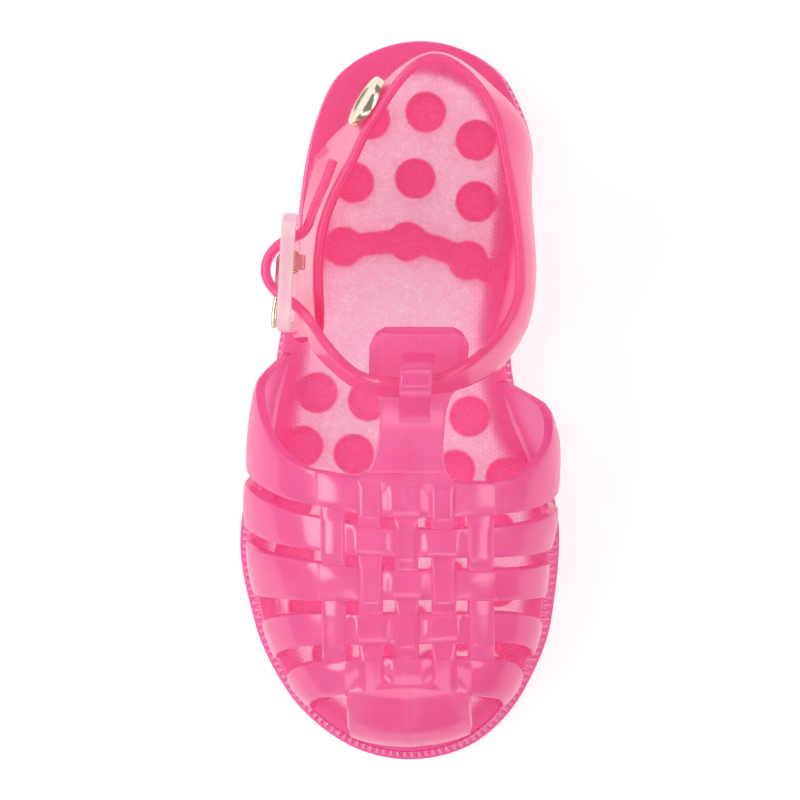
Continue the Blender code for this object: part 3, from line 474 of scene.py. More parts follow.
@dataclass(frozen=True)
class JellyFinish:
    """Glossy translucent vinyl: light is taken up with depth, and a milky share is scattered."""

    name: str
    tint: Colour = (0.97, 0.88, 0.92)
    dark_tint: Colour = (0.93, 0.62, 0.74)
    # Colour of the painted glint lines (painted highlights where ripples would catch light) and of the light
    # honeycomb grain lines
    glint_and_grain_tint: Colour = (1.0, 1.0, 1.0)
    body: Colour = (1.0, 0.32, 0.66)
    passing: Colour = (0.981, 0.06, 0.56)
    density: float = 80.0
    through: float = 0.5
    ior: float = 1.5
    coat: float = 0.0
    coat_roughness: float = 0.1
    # Whether the honeycomb grain, the small ripple bump and the painted glint lines are added
    grain_ripples_and_glints: bool = False
    ripple: float = 0.15
    ripple_size: float = 6.0
    ripple_depth: float = 0.5
    water_size: float = 1.6
    water_depth: float = 0.25
    # Size and width of the painted glint lines: light lines painted on the clear share where ripples would
    # catch light
    line_size: float = 2.4
    glint_line_reach: float = 0.05
    mottle: float = 0.3
    mottle_size: float = 4.0
    mottle_levels: tuple[float, float] = (0.4, 0.7)
    grain_pitch: float = 1.1
    grain_levels: tuple[float, float] = (0.2, -1.2)
    twist: float = 1.0

    def by_face(self, tree: bpy.types.NodeTree, name: str) -> bpy.types.NodeSocket:
        """A value of the face's look.

        Args:
            tree: the material's nodes.
            name: field of the look.

        Returns:
            The socket that carries it.
        """
        source = tree.nodes.new("ShaderNodeAttribute")
        source.attribute_name = name
        return source.outputs["Fac"]

    def noise(self, tree: bpy.types.NodeTree, place: bpy.types.Node, size: float,
              twist: float = 0.0) -> bpy.types.NodeSocket:
        """Soft noise with patches of a size in millimetres, drawn out by a twist.

        Args:
            tree: the material's nodes.
            place: the node that gives object coordinates.
            size: size of the patches.
            twist: how far they are drawn out.

        Returns:
            The socket that carries it.
        """
        made = tree.nodes.new("ShaderNodeTexNoise")
        made.inputs["Scale"].default_value = 1 / (size * MM)
        made.inputs["Detail"].default_value = 1.0
        made.inputs["Distortion"].default_value = twist
        tree.links.new(place.outputs["Object"], made.inputs["Vector"])
        return made.outputs["Fac"]

    def reckon(self, tree: bpy.types.NodeTree, how: Sum,
               *values: bpy.types.NodeSocket | float) -> bpy.types.NodeSocket:
        """One step of arithmetic on sockets and numbers.

        Args:
            tree: the material's nodes.
            how: the operation.
            *values: what it works on.

        Returns:
            The socket that carries the result.
        """
        made = tree.nodes.new("ShaderNodeMath")
        made.operation = how.value
        for value, socket in zip(values, made.inputs):
            if isinstance(value, float):
                socket.default_value = value
            else:
                tree.links.new(value, socket)
        return made.outputs[0]

    def ranged(self, tree: bpy.types.NodeTree, value: bpy.types.NodeSocket, low: float, high: float,
               top: float = 1.0) -> bpy.types.NodeSocket:
        """A value spread from 0 at one level to a top at another.

        Args:
            tree: the material's nodes.
            value: the socket to spread.
            low: level that gives 0.
            high: level that gives the top.
            top: the largest result.

        Returns:
            The socket that carries the result.
        """
        made = tree.nodes.new("ShaderNodeMapRange")
        made.inputs["From Min"].default_value = low
        made.inputs["From Max"].default_value = high
        made.inputs["To Max"].default_value = top
        tree.links.new(value, made.inputs["Value"])
        return made.outputs["Result"]

    def ripples(self, tree: bpy.types.NodeTree, place: bpy.types.Node) -> bpy.types.Node:
        """Soft unevenness of a moulded face, with small pool-like ripples over it.

        Args:
            tree: the material's nodes.
            place: the node that gives object coordinates.

        Returns:
            The bump node.
        """
        soft = tree.nodes.new("ShaderNodeBump")
        soft.inputs["Strength"].default_value = self.ripple
        soft.inputs["Distance"].default_value = self.ripple_depth * MM
        tree.links.new(self.noise(tree, place, self.ripple_size), soft.inputs["Height"])
        if not self.grain_ripples_and_glints:
            return soft
        small = tree.nodes.new("ShaderNodeBump")
        small.inputs["Distance"].default_value = self.water_depth * MM
        tree.links.new(self.by_face(tree, "ripples_and_glints"), small.inputs["Strength"])
        tree.links.new(self.noise(tree, place, self.water_size), small.inputs["Height"])
        tree.links.new(soft.outputs["Normal"], small.inputs["Normal"])
        return small

    def honeycomb(self, tree: bpy.types.NodeTree, place: bpy.types.Node) -> bpy.types.NodeSocket:
        """Fine honeycomb grain made of three crossing waves: 3 in a cell, -1.5 between cells.

        Args:
            tree: the material's nodes.
            place: the node that gives object coordinates.

        Returns:
            The socket that carries it.
        """
        step = 2 * math.pi / (self.grain_pitch * MM * math.sin(math.pi / 3))
        waves = []
        for k in range(3):
            turn = math.pi * k / 3
            along = tree.nodes.new("ShaderNodeVectorMath")
            along.operation = "DOT_PRODUCT"
            along.inputs[1].default_value = (step * math.cos(turn), step * math.sin(turn), 0.0)
            tree.links.new(place.outputs["Object"], along.inputs[0])
            waves.append(self.reckon(tree, Sum.COSINE, along.outputs["Value"]))
        return self.reckon(tree, Sum.ADD, self.reckon(tree, Sum.ADD, waves[0], waves[1]), waves[2])

    def clear_colour(self, tree: bpy.types.NodeTree, place: bpy.types.Node) -> bpy.types.NodeSocket:
        """Colour of the clear share: mottled and drawn towards the dark tint by the face's shade value, with
        painted glint lines that stand in for light the ripples catch, and light grain lines.

        Args:
            tree: the material's nodes.
            place: the node that gives object coordinates.

        Returns:
            The socket that carries it.
        """
        patches = self.noise(tree, place, self.mottle_size, self.twist)
        patches = self.ranged(tree, patches, *self.mottle_levels, self.mottle)
        shares = [(self.reckon(tree, Sum.ADD, patches, self.by_face(tree, "shade")), self.dark_tint)]
        if self.grain_ripples_and_glints:
            # Painted glint lines: thin light lines along the middle level of a noise, painted where the
            # ripples would catch light; the honeycomb grain below is the moulding's own
            lines = self.noise(tree, place, self.line_size, self.twist)
            off = self.reckon(tree, Sum.SUBTRACT, lines, NOISE_MIDDLE)
            ridge = self.ranged(tree, self.reckon(tree, Sum.ABSOLUTE, off), self.glint_line_reach, 0.0)
            ridge = self.reckon(tree, Sum.MULTIPLY, ridge, self.by_face(tree, "ripples_and_glints"))
            cells = self.ranged(tree, self.honeycomb(tree, place), *self.grain_levels)
            cells = self.reckon(tree, Sum.MULTIPLY, cells, self.by_face(tree, "grain"))
            shares.append((self.reckon(tree, Sum.MAXIMUM, ridge, cells), self.glint_and_grain_tint))
        colour = None
        for share, tone in shares:
            mix = tree.nodes.new("ShaderNodeMix")
            mix.data_type = "RGBA"
            mix.inputs["A"].default_value = self.tint + (1.0,)
            mix.inputs["B"].default_value = tone + (1.0,)
            if colour is not None:
                tree.links.new(colour, mix.inputs["A"])
            tree.links.new(share, mix.inputs["Factor"])
            colour = mix.outputs["Result"]
        return colour

    def material(self) -> bpy.types.Material:
        """Builds the material.

        Returns:
            The material.
        """
        made = bpy.data.materials.new(self.name)
        made.use_nodes = True
        tree = made.node_tree
        tree.nodes.clear()
        new, link = tree.nodes.new, tree.links.new
        place = new("ShaderNodeTexCoord")
        bump = self.ripples(tree, place)
        clear = new("ShaderNodeBsdfPrincipled")
        link(self.clear_colour(tree, place), clear.inputs["Base Color"])
        clear.inputs["IOR"].default_value = self.ior
        clear.inputs["Transmission Weight"].default_value = 1.0
        cloudy = new("ShaderNodeBsdfPrincipled")
        cloudy.inputs["Base Color"].default_value = self.body + (1.0,)
        cloudy.inputs["IOR"].default_value = self.ior
        for shader in (clear, cloudy):
            link(self.by_face(tree, "roughness"), shader.inputs["Roughness"])
            shader.inputs["Coat Weight"].default_value = self.coat
            shader.inputs["Coat Roughness"].default_value = self.coat_roughness
            link(bump.outputs["Normal"], shader.inputs["Coat Normal"])
        glow = new("ShaderNodeBsdfTranslucent")
        glow.inputs["Color"].default_value = self.body + (1.0,)
        for shader in (clear, cloudy, glow):
            link(bump.outputs["Normal"], shader.inputs["Normal"])
        cloud = new("ShaderNodeMixShader")
        cloud.inputs[0].default_value = self.through
        link(cloudy.outputs[0], cloud.inputs[1])
        link(glow.outputs[0], cloud.inputs[2])
        mix = new("ShaderNodeMixShader")
        link(self.by_face(tree, "milk"), mix.inputs[0])
        link(clear.outputs[0], mix.inputs[1])
        link(cloud.outputs[0], mix.inputs[2])
        depth = new("ShaderNodeVolumeAbsorption")
        depth.inputs["Color"].default_value = self.passing + (1.0,)
        depth.inputs["Density"].default_value = self.density
        out = new("ShaderNodeOutputMaterial")
        link(mix.outputs[0], out.inputs["Surface"])
        link(depth.outputs[0], out.inputs["Volume"])
        return made


@dataclass(frozen=True)
class GoldFinish:
    """Pale gold plating with fine wear."""

    name: str = "pale_gold_plating"
    colour: Colour = (0.80, 0.71, 0.52)
    roughness: float = 0.18
    wear_spread: tuple[float, float] = (0.6, 1.6)
    wear_size: float = 1.2
    wear_detail: float = 4.0
    wear_strength: float = 0.15
    wear_depth: float = 0.1

    def material(self) -> bpy.types.Material:
        """Builds the material.

        Returns:
            The material.
        """
        made = bpy.data.materials.new(self.name)
        made.use_nodes = True
        tree = made.node_tree
        new, link = tree.nodes.new, tree.links.new
        metal = tree.nodes["Principled BSDF"]
        metal.inputs["Metallic"].default_value = 1.0
        metal.inputs["Base Color"].default_value = self.colour + (1.0,)
        place = new("ShaderNodeTexCoord")
        wear = new("ShaderNodeTexNoise")
        wear.inputs["Scale"].default_value = 1 / (self.wear_size * MM)
        wear.inputs["Detail"].default_value = self.wear_detail
        link(place.outputs["Object"], wear.inputs["Vector"])
        spread = new("ShaderNodeMapRange")
        for end, share in zip(("To Min", "To Max"), self.wear_spread):
            spread.inputs[end].default_value = self.roughness * share
        link(wear.outputs["Fac"], spread.inputs["Value"])
        link(spread.outputs["Result"], metal.inputs["Roughness"])
        bump = new("ShaderNodeBump")
        bump.inputs["Strength"].default_value = self.wear_strength
        bump.inputs["Distance"].default_value = self.wear_depth * MM
        link(wear.outputs["Fac"], bump.inputs["Height"])
        link(bump.outputs["Normal"], metal.inputs["Normal"])
        return made


@dataclass(frozen=True)
class FloorFinish:
    """Plain white studio floor that glows a little."""

    name: str = "studio_white"
    colour: Colour = (0.5, 0.5, 0.5)
    roughness: float = 0.9
    glow_colour: Colour = (1.0, 1.0, 1.0)
    glow: float = 0.65

    def material(self) -> bpy.types.Material:
        """Builds the material.

        Returns:
            The material.
        """
        made = bpy.data.materials.new(self.name)
        made.use_nodes = True
        paint = made.node_tree.nodes["Principled BSDF"]
        paint.inputs["Base Color"].default_value = self.colour + (1.0,)
        paint.inputs["Roughness"].default_value = self.roughness
        paint.inputs["Specular IOR Level"].default_value = 0.0
        paint.inputs["Emission Color"].default_value = self.glow_colour + (1.0,)
        paint.inputs["Emission Strength"].default_value = self.glow
        return made


class SoleRow(NamedTuple):
    """Sole sizes at one place along the foot."""

    y: float
    lateral: float
    medial: float
    bottom: float
    top: float
    draft: float


class LugRow(NamedTuple):
    """One row of round lugs under the front of the foot."""

    x: float
    y: float
    count: int


class LugLevel(NamedTuple):
    """A level near the head of a lug: share of its widening, depth below the plate, clearness."""

    widening: float
    below: float
    clearness: float


@dataclass
class Sole:
    """Moulded sole: rim with upright ribs, thin footbed plate, round lugs and a wavy cross wall."""

    rows: list[SoleRow] = field(default_factory=lambda: [
        SoleRow(89.4, 0.0, 0.0, 1.4, 13.6, 0.8),
        SoleRow(78.0, 22.8, 22.4, 0.0, 13.3, 0.9),
        SoleRow(60.0, 28.5, 28.2, 0.0, 12.9, 1.1),
        SoleRow(37.5, 31.1, 26.9, 0.0, 12.2, 1.2),
        SoleRow(12.5, 34.6, 23.5, 2.2, 10.9, 1.4),
        SoleRow(-5.0, 37.4, 26.9, 1.2, 9.8, 2.0),
        SoleRow(-15.0, 40.5, 32.3, 0.0, 9.2, 2.4),
        SoleRow(-35.0, 43.4, 36.4, 0.0, 8.7, 2.7),
        SoleRow(-55.0, 39.6, 34.7, 0.0, 8.9, 2.8),
        SoleRow(-72.5, 31.0, 28.1, 1.4, 10.0, 2.8),
        SoleRow(-84.5, 17.6, 17.3, 4.4, 12.2, 2.6),
        SoleRow(-89.3, 0.0, 0.0, 5.8, 13.2, 2.5),
    ])
    heel_tip_x: float = 5.5
    toe_tip_x: float = 2.5
    outline_samples: int = 2000
    steps: int = 237
    points_per_step: int = 3
    rib_points: int = 6
    rib_depth: float = 0.6
    rib_groove: Ramp = Ramp(0.1875, 0.8125)
    rib_foot: float = 1.3
    rib_head: float = 1.1
    rib_end: float = 0.45
    ground_round: float = 0.8
    ground_edge: tuple[float, float] = (0.25, 0.3)
    lip_round: float = 0.5
    lip_edge: float = 0.3
    rim_width: float = 4.6
    plate: float = 1.8
    cavity_round: float = 5.4
    cavity_rings: int = 7
    footbed_flat: float = 7.0
    footbed_dish: float = 0.9
    dish_ease: float = 0.15
    footbed_columns: int = 48
    under_columns: int = 12
    lug_radius: float = 5.2
    lug_tip_radius: float = 4.7
    lug_sides: int = 48
    lug_root: float = 1.2
    lug_chamfer: float = 0.35
    lug_neck: list[LugLevel] = field(default_factory=lambda: [
        LugLevel(0.4, 2.0, 0.0),
        LugLevel(0.7, 0.8, 0.5),
    ])
    # Looks give milk, roughness, grain, the strength of the ripples with their painted glint lines, and the
    # share of the dark tint
    tread: FaceLook = FaceLook(0.8, 0.4)
    side: FaceLook = FaceLook(0.85, 0.5)
    wall: FaceLook = FaceLook(0.8, 0.6)
    under: FaceLook = FaceLook(0.0, 0.3)
    footbed: FaceLook = FaceLook(0.02, 0.6, 0.05, 1.0, 0.0)
    margin: FaceLook = FaceLook(0.06, 0.6, 0.6, 0.5, 0.9)
    rim_top: FaceLook = FaceLook(0.1, 0.6, 0.15, 0.5, 0.2)
    margin_share: float = 0.2
    heel_lugs: Pairs = field(default_factory=lambda: [
        (-7.0, 69.5), (6.8, 71.2), (19.2, 64.2), (-11.0, 53.8), (4.2, 54.8), (19.2, 49.0),
    ])
    front_lugs: list[LugRow] = field(default_factory=lambda: [
        LugRow(-20.2, 1.8, 4),
        LugRow(-23.8, -11.5, 5),
        LugRow(-26.3, -25.0, 5),
        LugRow(-26.0, -38.5, 5),
        LugRow(-22.5, -51.5, 5),
        LugRow(-16.5, -63.0, 4),
        LugRow(-3.0, -75.6, 2),
    ])
    lug_pitch: float = 12.6
    lug_row_slope: float = -0.155
    cross_wall: Pairs = field(default_factory=lambda: [
        (-24.5, 38.2), (-13.5, 38.0), (2.2, 39.2), (17.2, 34.5), (27.0, 29.0),
    ])
    cross_wall_width: float = 6.0
    cross_wall_steps: int = 90
    cross_lug_radius: float = 5.0

    def __post_init__(self) -> None:
        """Fits the curves of the table."""
        self.bottom = column(self.rows, "bottom")
        self.top = column(self.rows, "top")
        self.draft = column(self.rows, "draft")
        self.reach = {side: column(self.rows, side.name.lower(), 2) for side in Side}

    def middle_x(self, y: Points) -> Points:
        """The straight line between heel tip and toe tip."""
        part = (self.rows[0].y - y) / (self.rows[0].y - self.rows[-1].y)
        return self.heel_tip_x + (self.toe_tip_x - self.heel_tip_x) * part

    def side_outline(self, side: Side, steps: int) -> Points:
        """Points evenly spaced along one side, heel tip to toe tip.

        Args:
            side: which side.
            steps: spaces between points.

        Returns:
            Rows of x and y.
        """
        turn = np.linspace(0.0, math.pi, self.outline_samples)
        middle = (self.rows[0].y + self.rows[-1].y) / 2
        y = middle + (self.rows[0].y - middle) * np.cos(turn)
        x = self.middle_x(y) + side.value * np.sqrt(np.maximum(self.reach[side](y), 0.0))
        run = np.concatenate([[0.0], np.cumsum(np.hypot(np.diff(x), np.diff(y)))])
        at = np.linspace(0.0, run[-1], steps + 1)
        return np.stack([np.interp(at, run, x), np.interp(at, run, y)], axis=1)

    def loop(self, steps: int) -> tuple[Points, Points]:
        """Closed plan outline and its inward directions, outer side first.

        Args:
            steps: spaces between points on each side.

        Returns:
            The outline and the directions.
        """
        outer = self.side_outline(Side.LATERAL, steps)
        inner = self.side_outline(Side.MEDIAL, steps)
        line = np.concatenate([outer, inner[-2:0:-1]])
        along = unit(np.roll(line, -1, axis=0) - np.roll(line, 1, axis=0))
        return line, np.stack([-along[:, 1], along[:, 0]], axis=1)

    def fill(self, shell: Shell, ring: list[int], lower: float, columns: int,
             looks: tuple[FaceLook, FaceLook]) -> None:
        """Closes a ring with a dished sheet.

        Args:
            shell: the piece that takes the faces.
            ring: its closed ring, outer side first.
            lower: how far below the footbed the sheet lies.
            columns: faces across.
            looks: looks of its middle and its margin.
        """
        half = len(ring) // 2
        rows = [[ring[0]]]
        part = np.arange(1, columns) / columns
        for i in range(1, half):
            a = np.array(shell.points[ring[i]])
            b = np.array(shell.points[ring[-i]])
            spots = a + (b - a) * part[:, None]
            dish = self.footbed_dish * float(smooth(min(i, half - i) / (half * self.dish_ease)))
            spots[:, 2] = self.top(spots[:, 1]) - dish * 4 * part * (1 - part) - lower
            rows.append([ring[i]] + shell.ring(spots) + [ring[-i]])
        rows.append([ring[half]])
        for i, (upper, under) in enumerate(zip(rows[:-1], rows[1:])):
            for k in range(columns):
                corners = [
                    upper[min(k, len(upper) - 1)],
                    upper[min(k + 1, len(upper) - 1)],
                    under[min(k + 1, len(under) - 1)],
                    under[min(k, len(under) - 1)],
                ]
                face = tuple(dict.fromkeys(corners))
                if len(face) > 2:
                    across = (k + 0.5) / columns
                    inside = min(across, 1 - across, i / half * 2, 2 - i / half * 2)
                    edge = 1 - float(smooth(inside / self.margin_share))
                    shell.face(face, looks[0].toward(looks[1], edge))

    def shell_mesh(self) -> bpy.types.Mesh:
        """Rim, ribbed side, footbed and the underside of the plate.

        Returns:
            Its mesh.
        """
        shell = Shell(self.side)
        line, inward = self.loop(self.steps)
        draft = self.draft(line[:, 1])
        fine, fine_in = self.loop(self.steps * self.points_per_step)
        fine_y = fine[:, 1]
        thick = self.top(fine_y) - self.bottom(fine_y)
        phase = np.arange(len(fine_y)) % self.rib_points / self.rib_points
        groove = self.rib_depth * np.array([self.rib_groove.at(1 - abs(2 * p - 1)) for p in phase])

        def level(inset: Points, height: Profile, lift: float) -> list[int]:
            """A ring of the plain outline."""
            plan = line + inward * np.broadcast_to(inset, len(line))[:, None]
            return shell.ring(np.column_stack([plan, height(plan[:, 1]) + lift]))

        def ribbed(up: Points, deep: float) -> list[int]:
            """A ring of the ribbed side at a height above the ground line.

            Args:
                up: height at each point.
                deep: share of the groove's depth.

            Returns:
                Numbers of its points.
            """
            inset = self.draft(fine_y) * up / thick + groove * deep
            plan = fine + fine_in * inset[:, None]
            return shell.ring(np.column_stack([plan, self.bottom(fine_y) + up]))

        ground = level(self.ground_round, self.bottom, 0.0)
        edge_in, edge_up = (share * self.ground_round for share in self.ground_edge)
        edge = level(edge_in, self.bottom, edge_up)
        side = level(0.0, self.bottom, self.ground_round)
        head = thick - self.rib_head
        ribs = [
            ribbed(np.full_like(thick, self.rib_foot - self.rib_end), 0.0),
            ribbed(np.full_like(thick, self.rib_foot), 1.0),
            ribbed(head, 1.0),
            ribbed(head + self.rib_end, 0.0),
        ]
        lip = level(draft, self.top, -self.lip_round)
        lip_top = level(draft + self.lip_edge * self.lip_round, self.top, -self.lip_edge * self.lip_round)
        shelf = level(draft + self.lip_round, self.top, 0.0)
        flat = level(self.footbed_flat, self.top, 0.0)
        shell.band(ground, edge)
        shell.band(edge, side)
        shell.fan_band(side, ribs[0])
        for low, high in zip(ribs[:-1], ribs[1:]):
            shell.band(low, high)
        shell.fan_band(lip, ribs[-1])
        shell.band(lip, lip_top)
        shell.band(lip_top, shelf)
        shell.band(shelf, flat, self.rim_top)
        self.fill(shell, flat, 0.0, self.footbed_columns, (self.footbed, self.margin))
        last = ground
        for part in np.linspace(0.0, 1.0, self.cavity_rings):
            inset = self.rim_width + self.cavity_round * (1 - math.cos(part * math.pi / 2))
            plan = line + inward * inset
            low, high = self.bottom(plan[:, 1]), self.top(plan[:, 1]) - self.plate
            ring = shell.ring(np.column_stack([plan, low + (high - low) * math.sin(part * math.pi / 2)]))
            shell.band(last, ring, self.wall.toward(self.under, part) if part > 0 else self.tread)
            last = ring
        self.fill(shell, last, self.plate, self.under_columns, (self.under, self.under))
        return shell.mesh("sole")

    def lug_top(self, y: float) -> float:
        """Height inside the plate where a lug or the cross wall ends."""
        return float(self.top(y)) - self.plate - self.footbed_dish + self.lug_root

    def ceiling(self, x: float, y: float) -> float:
        """Height of the plate's underside at one place.

        Args:
            x: place across the foot.
            y: place along the foot.

        Returns:
            The height.
        """
        reach = [math.sqrt(float(self.reach[side](y))) - self.rim_width - self.cavity_round for side in Side]
        part = (x - float(self.middle_x(y)) + reach[0]) / sum(reach)
        dish = self.footbed_dish * max(4 * part * (1 - part), 0.0)
        return float(self.top(y)) - dish - self.plate

    def lug_mesh(self) -> bpy.types.Mesh:
        """Round lugs from the plate to the ground line, clearer towards the plate.

        Returns:
            Its mesh.
        """
        shell = Shell(self.tread)
        spots = list(self.heel_lugs)
        for row in self.front_lugs:
            for k in range(row.count):
                spots.append((row.x + self.lug_pitch * k, row.y + self.lug_row_slope * self.lug_pitch * k))
        turn = turns(self.lug_sides)
        tip, wide = self.lug_tip_radius, self.lug_radius - self.lug_tip_radius
        for x, y in spots:
            low, root = float(self.bottom(y)), self.ceiling(x, y)
            levels = [(tip - self.lug_chamfer, low, 0.0), (tip, low + self.lug_chamfer, 0.0)]
            levels += [(tip + n.widening * wide, root - n.below, n.clearness) for n in self.lug_neck]
            levels.append((self.lug_radius, self.lug_top(y), 1.0))
            rings = [shell.ring(circle(turn, r, z, x, y)) for r, z, _ in levels]
            for a, b, (_, _, part) in zip(rings[:-1], rings[1:], levels[1:]):
                shell.band(a, b, self.wall.toward(self.under, part))
            shell.cap(rings[0])
            shell.cap(rings[-1])
        return shell.mesh("lugs")

    def cross_wall_mesh(self) -> bpy.types.Mesh:
        """Upright wall across the front of the heel, swelling where three lugs stand in it.

        Returns:
            Its mesh.
        """
        shell = Shell(self.tread)
        line = np.array(self.cross_wall)
        knots = distances(line)
        at = np.linspace(0.0, knots[-1], self.cross_wall_steps)
        path = natural_curve(knots, line, at)
        along = unit(np.gradient(path, axis=0))
        side = np.stack([-along[:, 1], along[:, 0]], axis=1)
        swell = np.zeros_like(at)
        for centre in knots[1:-1]:
            bow = np.sqrt(np.maximum(self.cross_lug_radius**2 - (at - centre) ** 2, 0.0))
            swell = np.maximum(swell, bow)
        half = np.maximum(swell, self.cross_wall_width / 2)[:, None]
        plan = np.concatenate([path + side * half, (path - side * half)[::-1]])
        low = shell.ring([(x, y, 0.0) for x, y in plan])
        high = shell.ring([(x, y, self.lug_top(y)) for x, y in plan])
        shell.band(low, high, self.wall)
        count = len(at)
        for ring in (low, high):
            for i in range(count - 1):
                shell.face((ring[i], ring[i + 1], ring[2 * count - 2 - i], ring[2 * count - 1 - i]))
        return shell.mesh("cross_wall")

    def build(self, jelly: JellyFinish) -> bpy.types.Object:
        """Makes the sole with its lugs and its cross wall and dresses it.

        Args:
            jelly: its finish.

        Returns:
            The finished piece.
        """
        data = merged(self.shell_mesh(), self.lug_mesh())
        data = merged(data, self.cross_wall_mesh())
        return show("sole_moulding", data, "sole", Slot.JELLY, jelly.material())


class LastRow(NamedTuple):
    """Section of the foot surface at one place along the foot."""

    y: float
    axis: float
    half_width: float
    pinch_lateral: float
    pinch_medial: float
    ridge: float
    skew: float


@dataclass
class Last:
    """Foot surface that the inside of the vamp lies on, closing round the toe."""

    sole: Sole
    rows: list[LastRow] = field(default_factory=lambda: [
        LastRow(-83.2, 2.1, 0.0, 0.0, 0.0, 31.0, 0.0),
        LastRow(-79.5, 2.2, 16.2, 0.0, 0.0, 31.0, 0.2),
        LastRow(-74.9, 1.9, 21.8, 0.0, 0.0, 31.2, 0.4),
        LastRow(-70.0, 1.6, 26.2, 0.0, 0.0, 31.5, 0.8),
        LastRow(-55.0, 0.8, 32.6, 0.0, 0.0, 33.2, 1.6),
        LastRow(-40.0, -0.3, 35.4, 0.5, 0.0, 36.5, 2.4),
        LastRow(-24.5, 0.3, 37.4, 2.5, 3.2, 40.4, 2.6),
        LastRow(-12.0, 0.6, 37.2, 5.0, 7.4, 44.0, 3.2),
        LastRow(-4.0, -0.2, 35.9, 6.0, 8.6, 46.9, 4.4),
        LastRow(4.0, -1.4, 33.4, 6.5, 7.6, 51.4, 6.2),
        LastRow(18.5, 0.0, 28.0, 3.0, 3.0, 62.0, 6.8),
    ])
    widest_y: float = -40.0
    side_power: float = 2.6
    top_power: float = 2.2
    pinch_height: float = 0.3
    rounds: int = 14
    front_samples: int = 600
    slope_reach: float = 0.05

    def __post_init__(self) -> None:
        """Fits the curves of the table."""
        self.axis = column(self.rows, "axis")
        self.width_squared = column(self.rows, "half_width", 2)
        self.pinch = {
            Side.LATERAL: column(self.rows, "pinch_lateral"),
            Side.MEDIAL: column(self.rows, "pinch_medial"),
        }
        self.ridge = column(self.rows, "ridge")
        self.skew = column(self.rows, "skew")
        self.widest = float(self.width_squared(self.widest_y))
        self.front_y = np.linspace(self.rows[0].y, self.widest_y, self.front_samples)
        self.front_squared = self.width_squared(self.front_y)

    def toe_part(self, y: Points) -> Points:
        """Squared share of the radius that the rounding of the toe takes."""
        share = np.maximum(0.0, 1 - self.width_squared(y) / self.widest)
        return np.where(y < self.widest_y, share, 0.0)

    def width(self, y: Points, on_medial: Points, rise: Points) -> Points:
        """Half width at a share of the height, drawn in towards the sole at the waist.

        Args:
            y: places along the foot.
            on_medial: which of them are on the inner side.
            rise: shares of the height.

        Returns:
            One half width for each place.
        """
        full = np.sqrt(np.where(y < self.widest_y, self.widest, self.width_squared(y)))
        pinch = np.where(on_medial, self.pinch[Side.MEDIAL](y), self.pinch[Side.LATERAL](y))
        return full - pinch * (1 - smooth(rise / self.pinch_height))

    def middle(self, y: Points, rise: Points) -> Points:
        """Middle of a section at a share of its height."""
        return self.axis(y) + self.skew(y) * rise

    def height(self, y: Points, rise: Points) -> Points:
        """Height for a share of the section's height."""
        low = self.sole.top(y)
        return low + (self.ridge(y) - low) * rise

    def radius(self, x: Points, y: Points, rise: Points) -> Points:
        """Section radius of a place: 0 on the ridge line, 1 at the foot line."""
        off = x - self.middle(y, rise)
        return np.sqrt((off / self.width(y, off > 0, rise)) ** 2 + self.toe_part(y))

    def over(self, x: Points, y: Points) -> tuple[Points, Points]:
        """Surface points above plan positions, with their radii.

        Args:
            x: places across the foot.
            y: places along the foot.

        Returns:
            The points and the radii.
        """
        x, y = np.broadcast_arrays(np.asarray(x, float), np.asarray(y, float))
        rise = np.ones_like(x)
        radius = np.zeros_like(x)
        for _ in range(self.rounds):
            radius = self.radius(x, y, rise)
            rest = np.maximum(0.0, 1 - np.minimum(radius, 1.0) ** self.side_power)
            rise = rest ** (1 / self.top_power)
        return np.stack([x, y, self.height(y, rise)], axis=-1), radius

    def angle(self, radius: Points) -> Points:
        """Section angle of a radius: a quarter turn at the foot line."""
        return np.arcsin(np.minimum(radius, 1.0) ** (self.side_power / 2))

    def at_angle(self, turn: Points) -> tuple[Points, Points]:
        """Radius and share of height at a section angle."""
        radius = np.sin(turn) ** (2 / self.side_power)
        return radius, np.maximum(np.cos(turn), 0.0) ** (2 / self.top_power)

    def down_side(self, y: Points, side: Side, turn: Points) -> Points:
        """Surface points on one side at section angles.

        Args:
            y: places along the foot.
            side: which side.
            turn: one angle for each place.

        Returns:
            The points.
        """
        radius, rise = self.at_angle(turn)
        reach = np.sqrt(np.maximum(radius**2 - self.toe_part(y), 0.0))
        wide = self.width(y, np.full(np.shape(y), side is Side.MEDIAL), rise)
        x = self.middle(y, rise) + side.value * reach * wide
        return np.stack([x, y, self.height(y, rise)], axis=-1)

    def down_front(self, x: Points, turn: Points) -> Points:
        """Surface points on the toe at section angles, straight ahead of x.

        Args:
            x: places across the foot.
            turn: one angle for each place.

        Returns:
            The points.
        """
        radius, rise = self.at_angle(turn)
        y = np.full_like(x, self.widest_y)
        for _ in range(self.rounds):
            off = x - self.middle(y, rise)
            share = np.maximum(radius**2 - (off / math.sqrt(self.widest)) ** 2, 0.0)
            y = np.interp(self.widest * (1 - share), self.front_squared, self.front_y)
        return np.stack([x, y, self.height(y, rise)], axis=-1)

    def level(self, spots: Points) -> Points:
        """Signed measure that is zero on the surface.

        Args:
            spots: points near the surface.

        Returns:
            One measure for each point.
        """
        x, y, z = spots[..., 0], spots[..., 1], spots[..., 2]
        low = self.sole.top(y)
        rise = (z - low) / (self.ridge(y) - low)
        return self.radius(x, y, rise) ** self.side_power + np.maximum(rise, 0.0) ** self.top_power - 1

    def outward(self, spots: Points) -> Points:
        """Outward directions of the surface.

        Args:
            spots: points near the surface.

        Returns:
            One direction for each point.
        """
        steps = self.slope_reach * np.eye(3)
        slope = [self.level(spots + step) - self.level(spots - step) for step in steps]
        return unit(np.stack(slope, axis=-1))


class BandEdge(NamedTuple):
    """Places along the foot of one edge of a cross band."""

    lateral_foot: float
    lateral_strip: float
    middle: float
    medial_strip: float
    medial_foot: float


